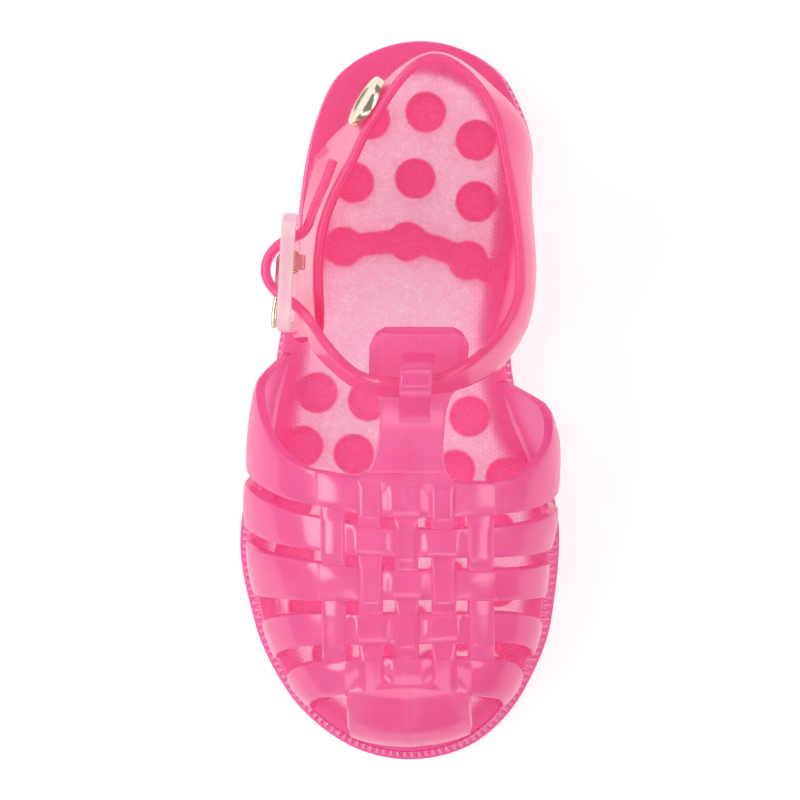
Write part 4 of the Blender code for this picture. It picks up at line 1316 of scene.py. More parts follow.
class BarRow(NamedTuple):
    """Middle and half width of the instep bar at one place along the foot."""

    y: float
    middle: float
    half_width: float


class LoopRow(NamedTuple):
    """A point on the middle line of the belt loop."""

    x: float
    y: float
    z: float


class GridRow(NamedTuple):
    """A row of the vamp's grid: what it belongs to, which one, and how far through it."""

    kind: RowKind
    index: int
    part: float


class GridColumn(NamedTuple):
    """A column of the vamp's grid: side or strips, plan offset, strip, place across, step down the side."""

    side: int
    offset: float
    strip: int
    across: float
    step: float


@dataclass
class Vamp:
    """Woven front of the upper with its toe cap, instep bar, tab and belt loop."""

    last: Last
    outside: FaceLook = FaceLook(0.5, 0.14)
    inside: FaceLook = FaceLook(0.5, 0.4)
    wall: float = 1.7
    raised: float = 1.3
    strip_count: int = 5
    strip_middle: float = 3.1
    strip_pitch: float = 8.65
    strip_width: float = 5.6
    strip_round: float = 3.2
    band_round: float = 3.6
    under_level: float = 0.25
    side_level: float = 0.6
    bar_level: float = 0.7
    cap_level: float = 0.7
    tab_rim: float = 0.3
    mould_line: float = 0.12
    mould_line_width: float = 0.32
    fine_line: float = 0.25
    fine_line_at: float = 0.2
    fine_line_width: float = 0.07
    bar_round: float = 9.0
    cap_round: float = 9.0
    tab_round: float = 12.0
    foot_corner: float = 0.07
    foot_draw: float = 0.3
    strip_from_bar: Ramp = Ramp(0.0, 0.14)
    strip_into_cap: Ramp = Ramp(0.3, 0.0)
    side_into_strip: Ramp = Ramp(0.75, 1.0)
    band_from_bar: Ramp = Ramp(0.5, 0.0)
    band_into_cap: Ramp = Ramp(0.5, 1.0)
    cap_from_band: Ramp = Ramp(0.4, 0.0)
    tab_end: Ramp = Ramp(0.3, 0.25)
    tab_rim_side: Ramp = Ramp(0.8, 0.88)
    tab_rim_end: Ramp = Ramp(0.07, 0.04)
    normal_lift: float = 0.1
    bands: list[tuple[BandEdge, BandEdge]] = field(default_factory=lambda: [
        (BandEdge(13.6, -16.8, -18.8, -19.4, 6.4), BandEdge(-14.6, -25.2, -27.9, -27.2, -20.8)),
        (BandEdge(-17.4, -28.0, -30.6, -30.2, -24.6), BandEdge(-29.4, -36.0, -37.4, -37.6, -35.6)),
        (BandEdge(-34.2, -38.9, -40.6, -40.6, -39.6), BandEdge(-47.6, -48.1, -47.7, -48.1, -48.4)),
        (BandEdge(-55.0, -51.3, -51.3, -51.1, -55.4), BandEdge(-63.6, -59.2, -58.7, -58.4, -63.2)),
        (BandEdge(-69.2, -63.1, -62.0, -62.4, -69.4), BandEdge(-75.2, -71.6, -68.9, -71.8, -74.8)),
    ])
    bar: list[BarRow] = field(default_factory=lambda: [
        BarRow(-18.8, 3.2, 11.6),
        BarRow(-16.8, 3.4, 9.6),
        BarRow(-13.8, 3.9, 8.3),
        BarRow(-9.0, 4.4, 7.7),
        BarRow(-3.0, 5.0, 7.6),
        BarRow(2.0, 5.5, 8.4),
        BarRow(5.0, 5.9, 10.4),
        BarRow(8.0, 6.3, 11.0),
        BarRow(13.5, 6.7, 11.0),
        BarRow(15.8, 6.9, 10.2),
        BarRow(17.2, 6.9, 8.0),
    ])
    loop_rows: list[LoopRow] = field(default_factory=lambda: [
        LoopRow(6.9, 11.2, 57.2),
        LoopRow(6.8, 10.0, 60.6),
        LoopRow(6.7, 8.5, 65.2),
        LoopRow(6.6, 6.7, 68.1),
        LoopRow(6.4, 4.0, 68.6),
        LoopRow(6.2, 1.7, 66.4),
        LoopRow(6.0, -0.1, 61.0),
        LoopRow(5.7, -1.6, 55.4),
        LoopRow(5.5, -3.4, 51.2),
        LoopRow(5.3, -6.0, 46.8),
    ])
    loop_width: float = 7.5
    loop_thick: float = 1.6
    loop_square: tuple[float, float] = (0.35, 0.5)
    loop_steps: int = 60
    loop_sides: int = 28
    side_columns: int = 26
    strip_columns: int = 18
    gap_columns: int = 3
    band_rows: int = 12
    gap_rows: int = 4
    bar_rows: int = 44
    cap_rows: int = 30

    def __post_init__(self) -> None:
        """Lays out the rows and columns of the grid."""
        self.half = (self.strip_count - 1) / 2 * self.strip_pitch + self.strip_width / 2
        self.bar_half = self.strip_pitch + self.strip_width / 2
        self.cap_half = self.half - self.strip_width
        self.bar_middle = column(self.bar, "middle")
        self.bar_width = column(self.bar, "half_width")
        places = [-2, -1, 0, 1, 2]
        self.edges = [tuple(Profile(places, list(edge)) for edge in band) for band in self.bands]
        self.columns = self.make_columns()
        self.rows = self.make_rows()

    def make_columns(self) -> list[GridColumn]:
        """Columns from the outer foot line over the strips to the inner foot line.

        Returns:
            The columns.
        """
        down = 0.5 - 0.5 * np.cos(np.pi * np.arange(self.side_columns) / (self.side_columns + 1))
        made = [GridColumn(-1, 0.0, -1, 0.0, float(s)) for s in down]
        for i in range(self.strip_count):
            centre = (i - (self.strip_count - 1) / 2) * self.strip_pitch
            for u in eased(self.strip_columns):
                made.append(GridColumn(0, centre + (u - 0.5) * self.strip_width, i, float(u), 1.0))
            if i < self.strip_count - 1:
                edge = centre + self.strip_width / 2
                space = self.strip_pitch - self.strip_width
                for k in range(1, self.gap_columns + 1):
                    part = k / (self.gap_columns + 1)
                    made.append(GridColumn(0, edge + part * space, i, 1.0 + part, 1.0))
        made += [GridColumn(1, 0.0, self.strip_count, 0.0, float(s)) for s in down[::-1]]
        return made

    def make_rows(self) -> list[GridRow]:
        """Rows from the end of the tab to the front of the toe cap.

        Returns:
            The rows.
        """
        made = [GridRow(RowKind.BAR, 0, float(t)) for t in eased(self.bar_rows)]
        for j in range(len(self.bands)):
            made += [GridRow(RowKind.BAND, j, float(t)) for t in eased(self.band_rows)]
            if j < len(self.bands) - 1:
                parts = np.arange(1, self.gap_rows + 1) / (self.gap_rows + 1)
                made += [GridRow(RowKind.BETWEEN, j, float(t)) for t in parts]
        parts = np.arange(1, self.cap_rows + 1) / self.cap_rows
        return made + [GridRow(RowKind.CAP, 0, float(t)) for t in parts]

    def band_y(self, j: int, part: Points, across: Points) -> Points:
        """Place along the foot of a line within band j."""
        rear, front = self.edges[j]
        return rear(across) + part * (front(across) - rear(across))

    def row_y(self, row: GridRow, across: Points) -> Points:
        """Place along the foot of a band row or a row between two bands.

        Args:
            row: the grid row.
            across: places across, from -1 to 1 over the strips.

        Returns:
            One place for each.
        """
        if row.kind is RowKind.BAND:
            return self.band_y(row.index, row.part, across)
        rear = self.band_y(row.index, 1.0, across)
        return rear + row.part * (self.band_y(row.index + 1, 0.0, across) - rear)

    def foot_round(self, part: float, step: Points) -> Points:
        """Place across a band, drawn in at the corners where it meets the sole."""
        near = np.clip(1 - step / self.foot_corner, 0.0, 1.0)
        return 0.5 + (part - 0.5) * (1 - self.foot_draw * (1 - np.sqrt(1 - near**2)))

    def row_points(self, row: GridRow) -> Points:
        """Inner surface points of one row; nothing where the grid has no node.

        Args:
            row: the grid row.

        Returns:
            One point for each column.
        """
        spots = np.full((len(self.columns), 3), np.nan)
        side = np.array([c.side for c in self.columns])
        offset = np.array([c.offset for c in self.columns])
        step = np.array([c.step for c in self.columns])
        middle = side == 0
        if row.kind is RowKind.BAR:
            use = middle & (np.abs(offset) <= self.bar_half + NEAR)
            first, last = self.bar[-1].y, self.bar[1].y
            y = first + (last - first) * row.part
            x = self.bar_middle(y) + offset[use] / self.bar_half * self.bar_width(y)
            spots[use] = self.last.over(x, np.full_like(x, y))[0]
            return spots
        if row.kind is RowKind.CAP:
            use = middle & (np.abs(offset) <= self.cap_half + NEAR)
            x = self.strip_middle + offset[use]
            start = self.last.angle(self.last.over(x, self.band_y(-1, 1.0, offset[use] / self.half))[1])
            spots[use] = self.last.down_front(x, start + (math.pi / 2 - start) * row.part)
            return spots
        x = self.strip_middle + offset[middle]
        spots[middle] = self.last.over(x, self.row_y(row, offset[middle] / self.half))[0]
        if row.kind is RowKind.BETWEEN:
            return spots
        for place in Side:
            use = side == place.value
            edge_y = self.band_y(row.index, row.part, float(place.value))
            radius = self.last.over(self.strip_middle + place.value * self.half, edge_y)[1]
            start = self.last.angle(radius)
            turn = math.pi / 2 + (start - math.pi / 2) * step[use]
            part = self.foot_round(row.part, step[use])
            y = self.band_y(row.index, part, place.value * (2 - step[use]))
            spots[use] = self.last.down_side(y, place, turn)
        return spots

    def strip_level(self, row: GridRow, strip: int) -> float:
        """How high a strip lies on a row: 1 over a band, low under one.

        Args:
            row: the grid row.
            strip: number of the strip.

        Returns:
            The level.
        """
        def at_band(j: int) -> float:
            """Its level at band j."""
            return 1.0 if (strip + j) % 2 == 1 else self.under_level

        if row.kind is RowKind.BAR:
            return 0.0
        if row.kind is RowKind.CAP:
            return at_band(len(self.bands) - 1) * self.strip_into_cap.at(row.part)
        if row.kind is RowKind.BETWEEN:
            a, b = at_band(row.index), at_band(row.index + 1)
            return a + (b - a) * float(smooth(row.part))
        here = at_band(row.index)
        return here * self.strip_from_bar.at(row.part) if row.index == 0 else here

    def band_level(self, row: GridRow, col: GridColumn) -> float:
        """How high a band lies at a column: 1 over a strip, low under one.

        Args:
            row: the grid row.
            col: the grid column.

        Returns:
            The level.
        """
        def at_strip(i: int) -> float:
            """Its level at strip i."""
            return self.under_level if (i + row.index) % 2 == 1 else 1.0

        if col.side != 0:
            end = 0 if col.side < 0 else self.strip_count - 1
            drop = self.side_level - min(at_strip(end), self.side_level)
            return self.side_level - drop * self.side_into_strip.at(col.step)
        if col.across > 1.0:
            a, b = at_strip(col.strip), at_strip(col.strip + 1)
            return a + (b - a) * float(smooth(col.across - 1.0))
        return at_strip(col.strip)

    def strip_relief(self, row: GridRow, col: GridColumn) -> float:
        """Share of the relief that a strip gives a grid node, with fine lines on the middle strip.

        Args:
            row: the grid row.
            col: the grid column.

        Returns:
            The share.
        """
        if col.side != 0 or col.across >= 1:
            return 0.0
        relief = self.strip_level(row, col.strip) * float(rounded(col.across, self.strip_round))
        if col.strip == self.strip_count // 2:
            near = (abs(col.across - 0.5) - 0.5 + self.fine_line_at) / self.fine_line_width
            relief += self.fine_line * math.exp(-near * near) * relief
        return relief

    def band_relief(self, row: GridRow, col: GridColumn) -> float:
        """Share of the relief that a band gives a grid node, level with bar and cap where it joins them.

        Args:
            row: the grid row.
            col: the grid column.

        Returns:
            The share.
        """
        relief = self.band_level(row, col) * float(rounded(row.part, self.band_round))
        if col.side != 0:
            return relief
        if row.index == len(self.bands) - 1 and abs(col.offset) < self.cap_half:
            relief = max(relief, self.band_into_cap.at(row.part))
        if row.index == 0 and abs(col.offset) < self.bar_half:
            relief = max(relief, self.bar_level * self.band_from_bar.at(row.part))
        return relief

    def bar_lift(self, row: GridRow, col: GridColumn) -> float:
        """Height of the instep bar above the wall, with the rim of its tab.

        Args:
            row: the grid row.
            col: the grid column.

        Returns:
            The height.
        """
        share = abs(col.offset) / self.bar_half
        across = float(rounded(0.5 + 0.5 * share, self.bar_round))
        along = math.sqrt(float(rounded(0.5 - 0.5 * row.part, self.tab_round)))
        rim = self.tab_end.at(row.part) * max(self.tab_rim_side.at(share), self.tab_rim_end.at(row.part))
        return (self.raised * self.bar_level + self.tab_rim * rim) * across * along

    def cap_relief(self, row: GridRow, col: GridColumn) -> float:
        """Share of the relief that the toe cap has at a grid node."""
        level = self.cap_level + (1 - self.cap_level) * self.cap_from_band.at(row.part)
        return level * float(rounded(0.5 + 0.5 * abs(col.offset) / self.cap_half, self.cap_round))

    def lift(self, row: GridRow, col: GridColumn) -> float:
        """Wall thickness at a grid node.

        Args:
            row: the grid row.
            col: the grid column.

        Returns:
            The thickness.
        """
        on_strips = col.side == 0
        line = self.mould_line * math.exp(-((col.offset / self.mould_line_width) ** 2)) if on_strips else 0.0
        strip = self.strip_relief(row, col)
        if row.kind is RowKind.BAR:
            return self.wall + self.bar_lift(row, col) + line
        if row.kind is RowKind.CAP:
            return self.wall + self.raised * max(strip, self.cap_relief(row, col)) + line
        if row.kind is RowKind.BETWEEN:
            return self.wall + self.raised * strip
        seam = line if row.index % 2 == 0 else 0.0
        return self.wall + self.raised * max(strip, self.band_relief(row, col)) + seam

    def solid_cells(self) -> Points:
        """Which cells of the grid belong to the vamp.

        Returns:
            True for each cell that is filled.
        """
        solid = np.zeros((len(self.rows) - 1, len(self.columns) - 1), bool)
        for r, (upper, lower) in enumerate(zip(self.rows[:-1], self.rows[1:])):
            kinds = {upper.kind, lower.kind}
            for c, (a, b) in enumerate(zip(self.columns[:-1], self.columns[1:])):
                strips = a.side == 0 and b.side == 0
                reach = max(abs(a.offset), abs(b.offset))
                if kinds == {RowKind.BAND} and upper.index == lower.index:
                    solid[r, c] = True
                elif RowKind.BETWEEN in kinds or kinds == {RowKind.BAND}:
                    solid[r, c] = strips and a.strip == b.strip and a.across < 1 and b.across <= 1
                elif RowKind.BAR in kinds:
                    solid[r, c] = strips and reach <= self.bar_half + NEAR
                else:
                    solid[r, c] = strips and reach <= self.cap_half + NEAR
        return solid

    def wall_mesh(self) -> bpy.types.Mesh:
        """The woven wall with bar, tab and toe cap.

        Returns:
            Its mesh.
        """
        inner = np.stack([self.row_points(row) for row in self.rows])
        thick = np.array([[self.lift(row, col) for col in self.columns] for row in self.rows])
        there = ~np.isnan(inner[..., 0])
        outer = np.full_like(inner, np.nan)
        spots = inner[there]
        above = spots + np.array([0.0, 0.0, self.normal_lift])
        outer[there] = spots + self.last.outward(above) * thick[there][:, None]
        foot = np.zeros_like(there)
        foot[:, [0, -1]] = True
        foot[-1, :] = True
        foot &= there
        for grid in (inner, outer):
            grid[foot, 2] = self.last.sole.top(grid[foot, 1]) + GAP
        return wall_shell(inner, outer, self.solid_cells(), self.outside, self.inside).mesh("vamp")

    def loop_mesh(self) -> bpy.types.Mesh:
        """Flat belt loop over the ankle strap, with rounded edges.

        Returns:
            Its mesh.
        """
        rows = np.array(self.loop_rows)
        knots = distances(rows)
        path = natural_curve(knots, rows, np.linspace(0.0, knots[-1], self.loop_steps))
        along = unit(np.gradient(path, axis=0))
        across = np.array([1.0, 0.0, 0.0])
        out = unit(np.cross(across, along))
        turn = turns(self.loop_sides)
        wide = squared(np.cos(turn), self.loop_square[0]) * self.loop_width / 2
        deep = squared(np.sin(turn), self.loop_square[1]) * self.loop_thick / 2
        shell = Shell(self.outside)
        shell.tube([shell.ring(p + wide[:, None] * across + deep[:, None] * n) for p, n in zip(path, out)])
        return shell.mesh("belt_loop")

    def build(self, jelly: JellyFinish) -> bpy.types.Object:
        """Makes the vamp and dresses it: glossy outside, frosted inside."""
        data = merged(self.wall_mesh(), self.loop_mesh())
        return show("woven_vamp", data, "vamp", Slot.JELLY, jelly.material())


class RibbonRow(NamedTuple):
    """Upper and lower edge of the quarters and the strap at one place, and the bulge between them."""

    top_x: float
    top_y: float
    top_z: float
    low_x: float
    low_y: float
    low_z: float
    bulge: float


@dataclass
class Quarters:
    """Side panels, heel strap and ankle strap as one ribbon of even wall with rounded edges."""

    sole: Sole
    look: FaceLook = FaceLook(0.6, 0.12)
    wall: float = 2.3
    rows: list[RibbonRow] = field(default_factory=lambda: [
        RibbonRow(-17.8, 15.6, 38.0, -24.6, 14.6, 18.0, 0.0),
        RibbonRow(-17.2, 19.2, 44.0, -26.2, 18.6, 5.0, 0.0),
        RibbonRow(-17.4, 28.6, 48.4, -24.8, 28.6, 5.0, 0.0),
        RibbonRow(-16.8, 38.0, 49.4, -23.4, 38.5, 5.0, 0.0),
        RibbonRow(-13.9, 47.5, 50.2, -21.9, 49.0, 5.0, 0.0),
        RibbonRow(-9.0, 56.9, 51.6, -20.3, 57.6, 5.0, 0.0),
        RibbonRow(-6.8, 61.6, 52.3, -16.9, 62.6, 18.0, 0.0),
        RibbonRow(-4.0, 66.2, 53.0, -8.6, 67.9, 36.0, 0.0),
        RibbonRow(1.2, 74.1, 55.0, -1.4, 75.7, 42.0, 0.0),
        RibbonRow(9.9, 80.7, 56.3, 9.6, 82.2, 44.0, 0.0),
        RibbonRow(21.4, 73.0, 55.0, 23.4, 74.4, 42.0, 0.0),
        RibbonRow(25.2, 63.9, 53.5, 30.8, 65.8, 32.0, 1.6),
        RibbonRow(26.3, 58.5, 52.6, 31.4, 59.8, 17.0, 2.6),
        RibbonRow(27.2, 54.0, 52.0, 30.2, 54.6, 5.0, 3.2),
        RibbonRow(28.8, 45.1, 51.0, 29.4, 45.1, 5.0, 3.2),
        RibbonRow(29.9, 35.6, 50.6, 28.2, 35.2, 5.0, 4.0),
        RibbonRow(30.0, 26.1, 51.2, 26.6, 25.2, 5.0, 4.4),
        RibbonRow(28.0, 20.0, 53.0, 25.2, 16.4, 5.0, 4.4),
        RibbonRow(24.6, 14.6, 56.4, 26.0, 9.8, 32.0, 1.6),
        RibbonRow(20.6, 10.6, 61.0, 21.6, 5.4, 49.4, 0.0),
        RibbonRow(14.2, 6.4, 65.0, 14.8, 2.8, 55.6, 0.0),
        RibbonRow(7.6, 4.8, 66.4, 7.6, 1.8, 56.9, 0.0),
        RibbonRow(0.6, 4.5, 66.0, 0.4, 1.5, 56.6, 0.0),
        RibbonRow(-6.0, 5.7, 63.6, -6.6, 2.6, 54.4, 0.0),
        RibbonRow(-11.9, 9.9, 59.0, -13.2, 7.0, 49.8, 0.0),
        RibbonRow(-16.2, 15.0, 55.6, -18.6, 13.0, 46.4, 0.0),
        RibbonRow(-19.0, 18.6, 52.6, -20.2, 17.8, 43.2, 0.0),
        RibbonRow(-23.0, 22.8, 51.2, -23.6, 22.6, 41.8, 0.0),
        RibbonRow(-27.8, 26.2, 50.4, -28.2, 26.0, 40.9, 0.0),
        RibbonRow(-30.1, 30.4, 50.0, -30.5, 30.4, 40.5, 0.0),
        RibbonRow(-28.9, 34.9, 49.8, -29.3, 34.9, 40.3, 0.0),
        RibbonRow(-25.0, 38.2, 49.6, -25.6, 38.2, 40.1, 0.0),
        RibbonRow(-20.6, 40.6, 49.4, -21.2, 40.8, 39.9, 0.0),
        RibbonRow(-18.9, 44.2, 49.2, -20.8, 44.8, 39.8, 0.0),
        RibbonRow(-16.3, 50.2, 48.9, -19.4, 50.8, 39.6, 0.0),
        RibbonRow(-13.6, 57.1, 48.2, -17.6, 57.7, 39.0, 0.0),
    ])
    station: float = 0.9
    knot_weight: tuple[float, float, float] = (1.0, 1.0, 0.35)
    across: int = 18
    edge_points: int = 7
    hole_row: float = 27.7
    hole_length: float = 8.0
    hole_height: float = 2.9
    hole_cut: float = 4.0
    hole_sides: int = 32
    seat_stations: int = 3
    seat_margin: int = 2

    def __post_init__(self) -> None:
        """Runs the middle sheet through the rows."""
        rows = np.array(self.rows)
        middle = (rows[:, 0:3] + rows[:, 3:6]) / 2
        self.knots = distances(middle * self.knot_weight)
        count = int(round(self.knots[-1] / self.station)) + 1
        self.at = np.linspace(0.0, self.knots[-1], count)
        lanes = natural_curve(self.knots, rows, self.at)
        top, low, bulge = lanes[:, 0:3], lanes[:, 3:6], lanes[:, 6]
        self.stands = low[:, 2] < self.sole.top(low[:, 1]) + GAP
        low[self.stands, 2] = self.sole.top(low[self.stands, 1]) + GAP
        along = np.gradient((top + low) / 2, axis=0)
        side = unit(np.stack([-along[:, 1], along[:, 0], np.zeros(count)], axis=1))
        part = np.linspace(0.0, 1.0, self.across + 1)
        sheet = top[:, None, :] + (low - top)[:, None, :] * part[None, :, None]
        sheet += (side * bulge[:, None])[:, None, :] * (4 * part * (1 - part))[None, :, None]
        self.sheet = sheet
        self.out = unit(np.cross(np.gradient(sheet, axis=0), np.gradient(sheet, axis=1)))

    def place(self, row: float) -> float:
        """Distance along the ribbon of a place between table rows."""
        return float(np.interp(row, np.arange(len(self.knots)), self.knots))

    def section(self, i: int) -> Points:
        """Closed ring of points round the wall at one station.

        Args:
            i: number of the station.

        Returns:
            The points, outside first.
        """
        sheet, out = self.sheet[i], self.out[i]
        half = self.wall / 2
        width = np.linalg.norm(sheet[-1] - sheet[0])
        inset = half / width
        part = np.linspace(0.0, 1.0, self.across + 1)
        ends = (inset, 1.0 if self.stands[i] else 1.0 - inset)
        at = ends[0] + (ends[1] - ends[0]) * part
        middle = np.stack([np.interp(at, part, sheet[:, k]) for k in range(3)], axis=1)
        face = unit(np.stack([np.interp(at, part, out[:, k]) for k in range(3)], axis=1))
        up = unit(sheet[0] - sheet[1])
        down = unit(sheet[-1] - sheet[-2])
        turn = np.linspace(0.0, math.pi, self.edge_points + 2)[1:-1]
        over_top = middle[0] + half * (np.cos(turn)[:, None] * -face[0] + np.sin(turn)[:, None] * up)
        under = middle[-1] + half * (np.cos(turn)[:, None] * face[-1] + np.sin(turn)[:, None] * down)
        outer, inner = middle + face * half, middle - face * half
        if self.stands[i]:
            spread = np.linspace(half, -half, self.edge_points + 2)[1:-1]
            under = middle[-1] + spread[:, None] * face[-1]
            foot = np.concatenate([outer[-1:], under, inner[-1:]])
            foot[:, 2] = self.sole.top(foot[:, 1]) + GAP
            outer[-1], under, inner[-1] = foot[0], foot[1:-1], foot[-1]
        return np.concatenate([outer, under, inner[::-1], over_top])

    def ribbon_mesh(self) -> bpy.types.Mesh:
        """The whole ribbon.

        Returns:
            Its mesh.
        """
        shell = Shell(self.look)
        shell.tube([shell.ring(self.section(i)) for i in range(len(self.at))])
        return shell.mesh("quarters")

    def slot_mesh(self) -> bpy.types.Mesh:
        """Cutter for the rounded slot that the prong passes through.

        Returns:
            Its mesh.
        """
        i = int(np.argmin(np.abs(self.at - self.place(self.hole_row))))
        centre = self.sheet[i, self.across // 2]
        out = unit(self.out[i, self.across // 2])
        up = unit(self.sheet[i, 0] - self.sheet[i, -1])
        along = np.cross(up, out)
        turn = turns(self.hole_sides)
        straight = (self.hole_length - self.hole_height) / 2
        run = np.cos(turn) * self.hole_height / 2 + np.sign(np.cos(turn)) * straight
        rise = np.sin(turn) * self.hole_height / 2
        plan = centre + run[:, None] * along + rise[:, None] * up
        shell = Shell(self.look)
        shell.tube([shell.ring(plan - self.hole_cut * out), shell.ring(plan + self.hole_cut * out)])
        return shell.mesh("slot")

    def seat(self, row: float, radius: float) -> tuple[Points, Points]:
        """Centre and direction of a flat seat that just clears the outer face within a radius.

        Args:
            row: place between table rows.
            radius: how far the seat reaches.

        Returns:
            Centre and direction.
        """
        i = int(np.argmin(np.abs(self.at - self.place(row))))
        centre = self.sheet[i, self.across // 2]
        reach, edge = self.seat_stations, self.seat_margin
        direction = unit(self.out[i - reach : i + reach + 1, edge:-edge].mean(axis=(0, 1)))
        offset = (self.sheet + self.out * self.wall / 2 - centre).reshape(-1, 3)
        height = offset @ direction
        beside = np.linalg.norm(offset - height[:, None] * direction, axis=1) < radius
        near = beside & (np.abs(height) < 2 * self.wall)
        return centre + direction * (height[near].max() + GAP), direction

    def build(self, jelly: JellyFinish) -> bpy.types.Object:
        """Makes the quarters and dresses them."""
        data = merged(self.ribbon_mesh(), self.slot_mesh(), Joining.CUT)
        return show("quarters_and_strap", data, "quarters", Slot.JELLY, jelly.material())


@dataclass
class Buckle:
    """Clear frame with a middle bar, the block that carries it and a bent metal prong."""

    look: FaceLook = FaceLook(0.6, 0.12)
    block_look: FaceLook = FaceLook(0.25, 0.12, shade=1.0)
    middle: tuple[float, float, float] = (-24.9, 30.4, 45.2)
    turn: float = math.radians(-3.0)
    length: float = 28.4
    height: float = 19.6
    thick: float = 3.4
    corner: float = 5.0
    bar: float = 2.7
    bar_square: float = 0.55
    corner_steps: int = 12
    section_steps: int = 24
    middle_bar_at: float = 2.6
    middle_bar_radius: float = 1.2
    base_length: float = 9.6
    base_height: float = 10.4
    base_drop: float = 1.2
    base_face: float = 6.0
    base_lean: float = 0.19
    base_plate: float = 2.5
    ear_length: float = 3.6
    ear_height: float = 2.2
    ear_root: float = 0.6
    edge_round: float = 0.45
    edge_segments: int = 3
    rod_sides: int = 20
    tip_shares: tuple[float, ...] = (0.5, 0.85, 0.98)
    steep: float = 0.9
    prong_radius: float = 0.8
    prong_lift: float = 0.4
    prong_tip_at: float = 13.4
    prong_turn: float = 250.0
    prong_turn_steps: int = 40
    prong_straight: tuple[float, ...] = (0.4, 3.0, 5.0)
    prong_rise_steps: int = 10
    prong_rest: float = 3.6

    def place(self) -> Matrix:
        """Place of the buckle: local x outwards, y towards the toe, z up."""
        return Matrix.Translation(Vector(self.middle) * MM) @ Matrix.Rotation(math.pi + self.turn, 4, "Z")

    def rod(self, path: list[tuple[float, float, float]], radius: float, look: FaceLook | None = None,
            tip: bool = False) -> bpy.types.Mesh:
        """Round rod along a path.

        Args:
            path: points on the middle line.
            radius: half the thickness.
            look: look of its faces; none for metal.
            tip: whether the far end is rounded.

        Returns:
            The rod's mesh.
        """
        line = np.array(path, float)
        size = np.full(len(line), radius)
        if tip:
            along = unit(line[-1] - line[-2])
            for share in self.tip_shares:
                line = np.vstack([line, line[len(path) - 1] + along * radius * share])
                size = np.append(size, radius * math.sqrt(1 - share**2))
        along = unit(np.gradient(line, axis=0))
        helper = np.array([0.0, 0.0, 1.0]) if abs(along[0, 2]) < self.steep else np.array([1.0, 0.0, 0.0])
        side = unit(np.cross(along, helper))
        up = np.cross(side, along)
        turn = turns(self.rod_sides)
        shell = Shell(look)
        rings = [
            shell.ring(p + r * (np.cos(turn)[:, None] * s + np.sin(turn)[:, None] * u))
            for p, r, s, u in zip(line, size, side, up)
        ]
        shell.tube(rings)
        return shell.mesh("rod")

    def frame_mesh(self) -> bpy.types.Mesh:
        """Rounded bar bent into a rounded rectangle, with the middle bar.

        Returns:
            Its mesh.
        """
        turn = turns(self.section_steps)
        inset = self.bar / 2 * (1 - squared(np.cos(turn), self.bar_square))
        out = self.thick / 2 * squared(np.sin(turn), self.bar_square)
        shell = Shell(self.look)
        rings = []
        for k, (sign_y, sign_z) in enumerate(((1, 1), (-1, 1), (-1, -1), (1, -1))):
            for i in range(self.corner_steps + 1):
                a = math.pi / 2 * (k + i / self.corner_steps)
                y = sign_y * (self.length / 2 - self.corner) + self.corner * math.cos(a)
                z = sign_z * (self.height / 2 - self.corner) + self.corner * math.sin(a)
                ring = np.stack([out, y - math.cos(a) * inset, z - math.sin(a) * inset], axis=1)
                rings.append(shell.ring(ring))
        shell.tube(rings, closed=True)
        reach = self.height / 2 - self.bar / 2
        ends = [(0.0, -self.middle_bar_at, -reach), (0.0, -self.middle_bar_at, reach)]
        return merged(shell.mesh("frame"), self.rod(ends, self.middle_bar_radius, self.look))

    def base_mesh(self) -> bpy.types.Mesh:
        """Block on the side panel with two ears that reach the middle bar, its edges rounded.

        Returns:
            Its mesh.
        """
        edit = bmesh.new()
        low, high = -self.base_drop - self.base_height / 2, -self.base_drop + self.base_height / 2
        back, face = -self.base_face, -self.base_face + self.base_plate
        tip = -self.middle_bar_radius - GAP
        middle = -self.middle_bar_at
        root, ear = face - self.ear_root, self.ear_length / 2
        boxes = [
            (back, face, self.base_length / 2, low, high),
            (root, tip, ear, low, low + self.ear_height),
            (root, tip, ear, high - self.ear_height, high),
        ]
        meshes = []
        for x0, x1, half, z0, z1 in boxes:
            edit.clear()
            bmesh.ops.create_cube(edit, size=1.0)
            for v in edit.verts:
                x = x1 if v.co.x > 0 else x0
                z = z1 if v.co.z > 0 else z0
                if x == back:
                    x += self.base_lean * (high - z)
                v.co = Vector((x, middle + (half if v.co.y > 0 else -half), z)) * MM
            bmesh.ops.bevel(edit, geom=edit.edges[:], offset=self.edge_round * MM,
                            segments=self.edge_segments, profile=0.5, affect="EDGES")
            shell = Shell(self.block_look)
            edit.verts.index_update()
            shell.ring([v.co / MM for v in edit.verts])
            for polygon in edit.faces:
                shell.face(tuple(v.index for v in polygon.verts))
            meshes.append(shell.mesh("block"))
        edit.free()
        return merged(merged(meshes[0], meshes[1]), meshes[2])

    def prong_mesh(self) -> bpy.types.Mesh:
        """Metal pin bent round the middle bar, its tip resting on the front bar.

        Returns:
            Its mesh.
        """
        reach = self.middle_bar_radius + GAP + self.prong_radius
        rest = self.thick / 2 + GAP + self.prong_radius
        path = []
        for a in np.radians(np.linspace(-self.prong_turn, 0.0, self.prong_turn_steps)):
            path.append((reach * math.cos(a), reach * math.sin(a) - self.middle_bar_at))
        path += [(reach, ahead) for ahead in self.prong_straight]
        rise_from, rise_to = self.prong_straight[-1], self.prong_tip_at - self.prong_rest
        for t in np.linspace(0.0, 1.0, self.prong_rise_steps + 1)[1:]:
            path.append((reach + (rest - reach) * float(smooth(t)), rise_from + (rise_to - rise_from) * t))
        path.append((rest, self.prong_tip_at - self.prong_radius))
        return self.rod([(x, y, self.prong_lift) for x, y in path], self.prong_radius, tip=True)

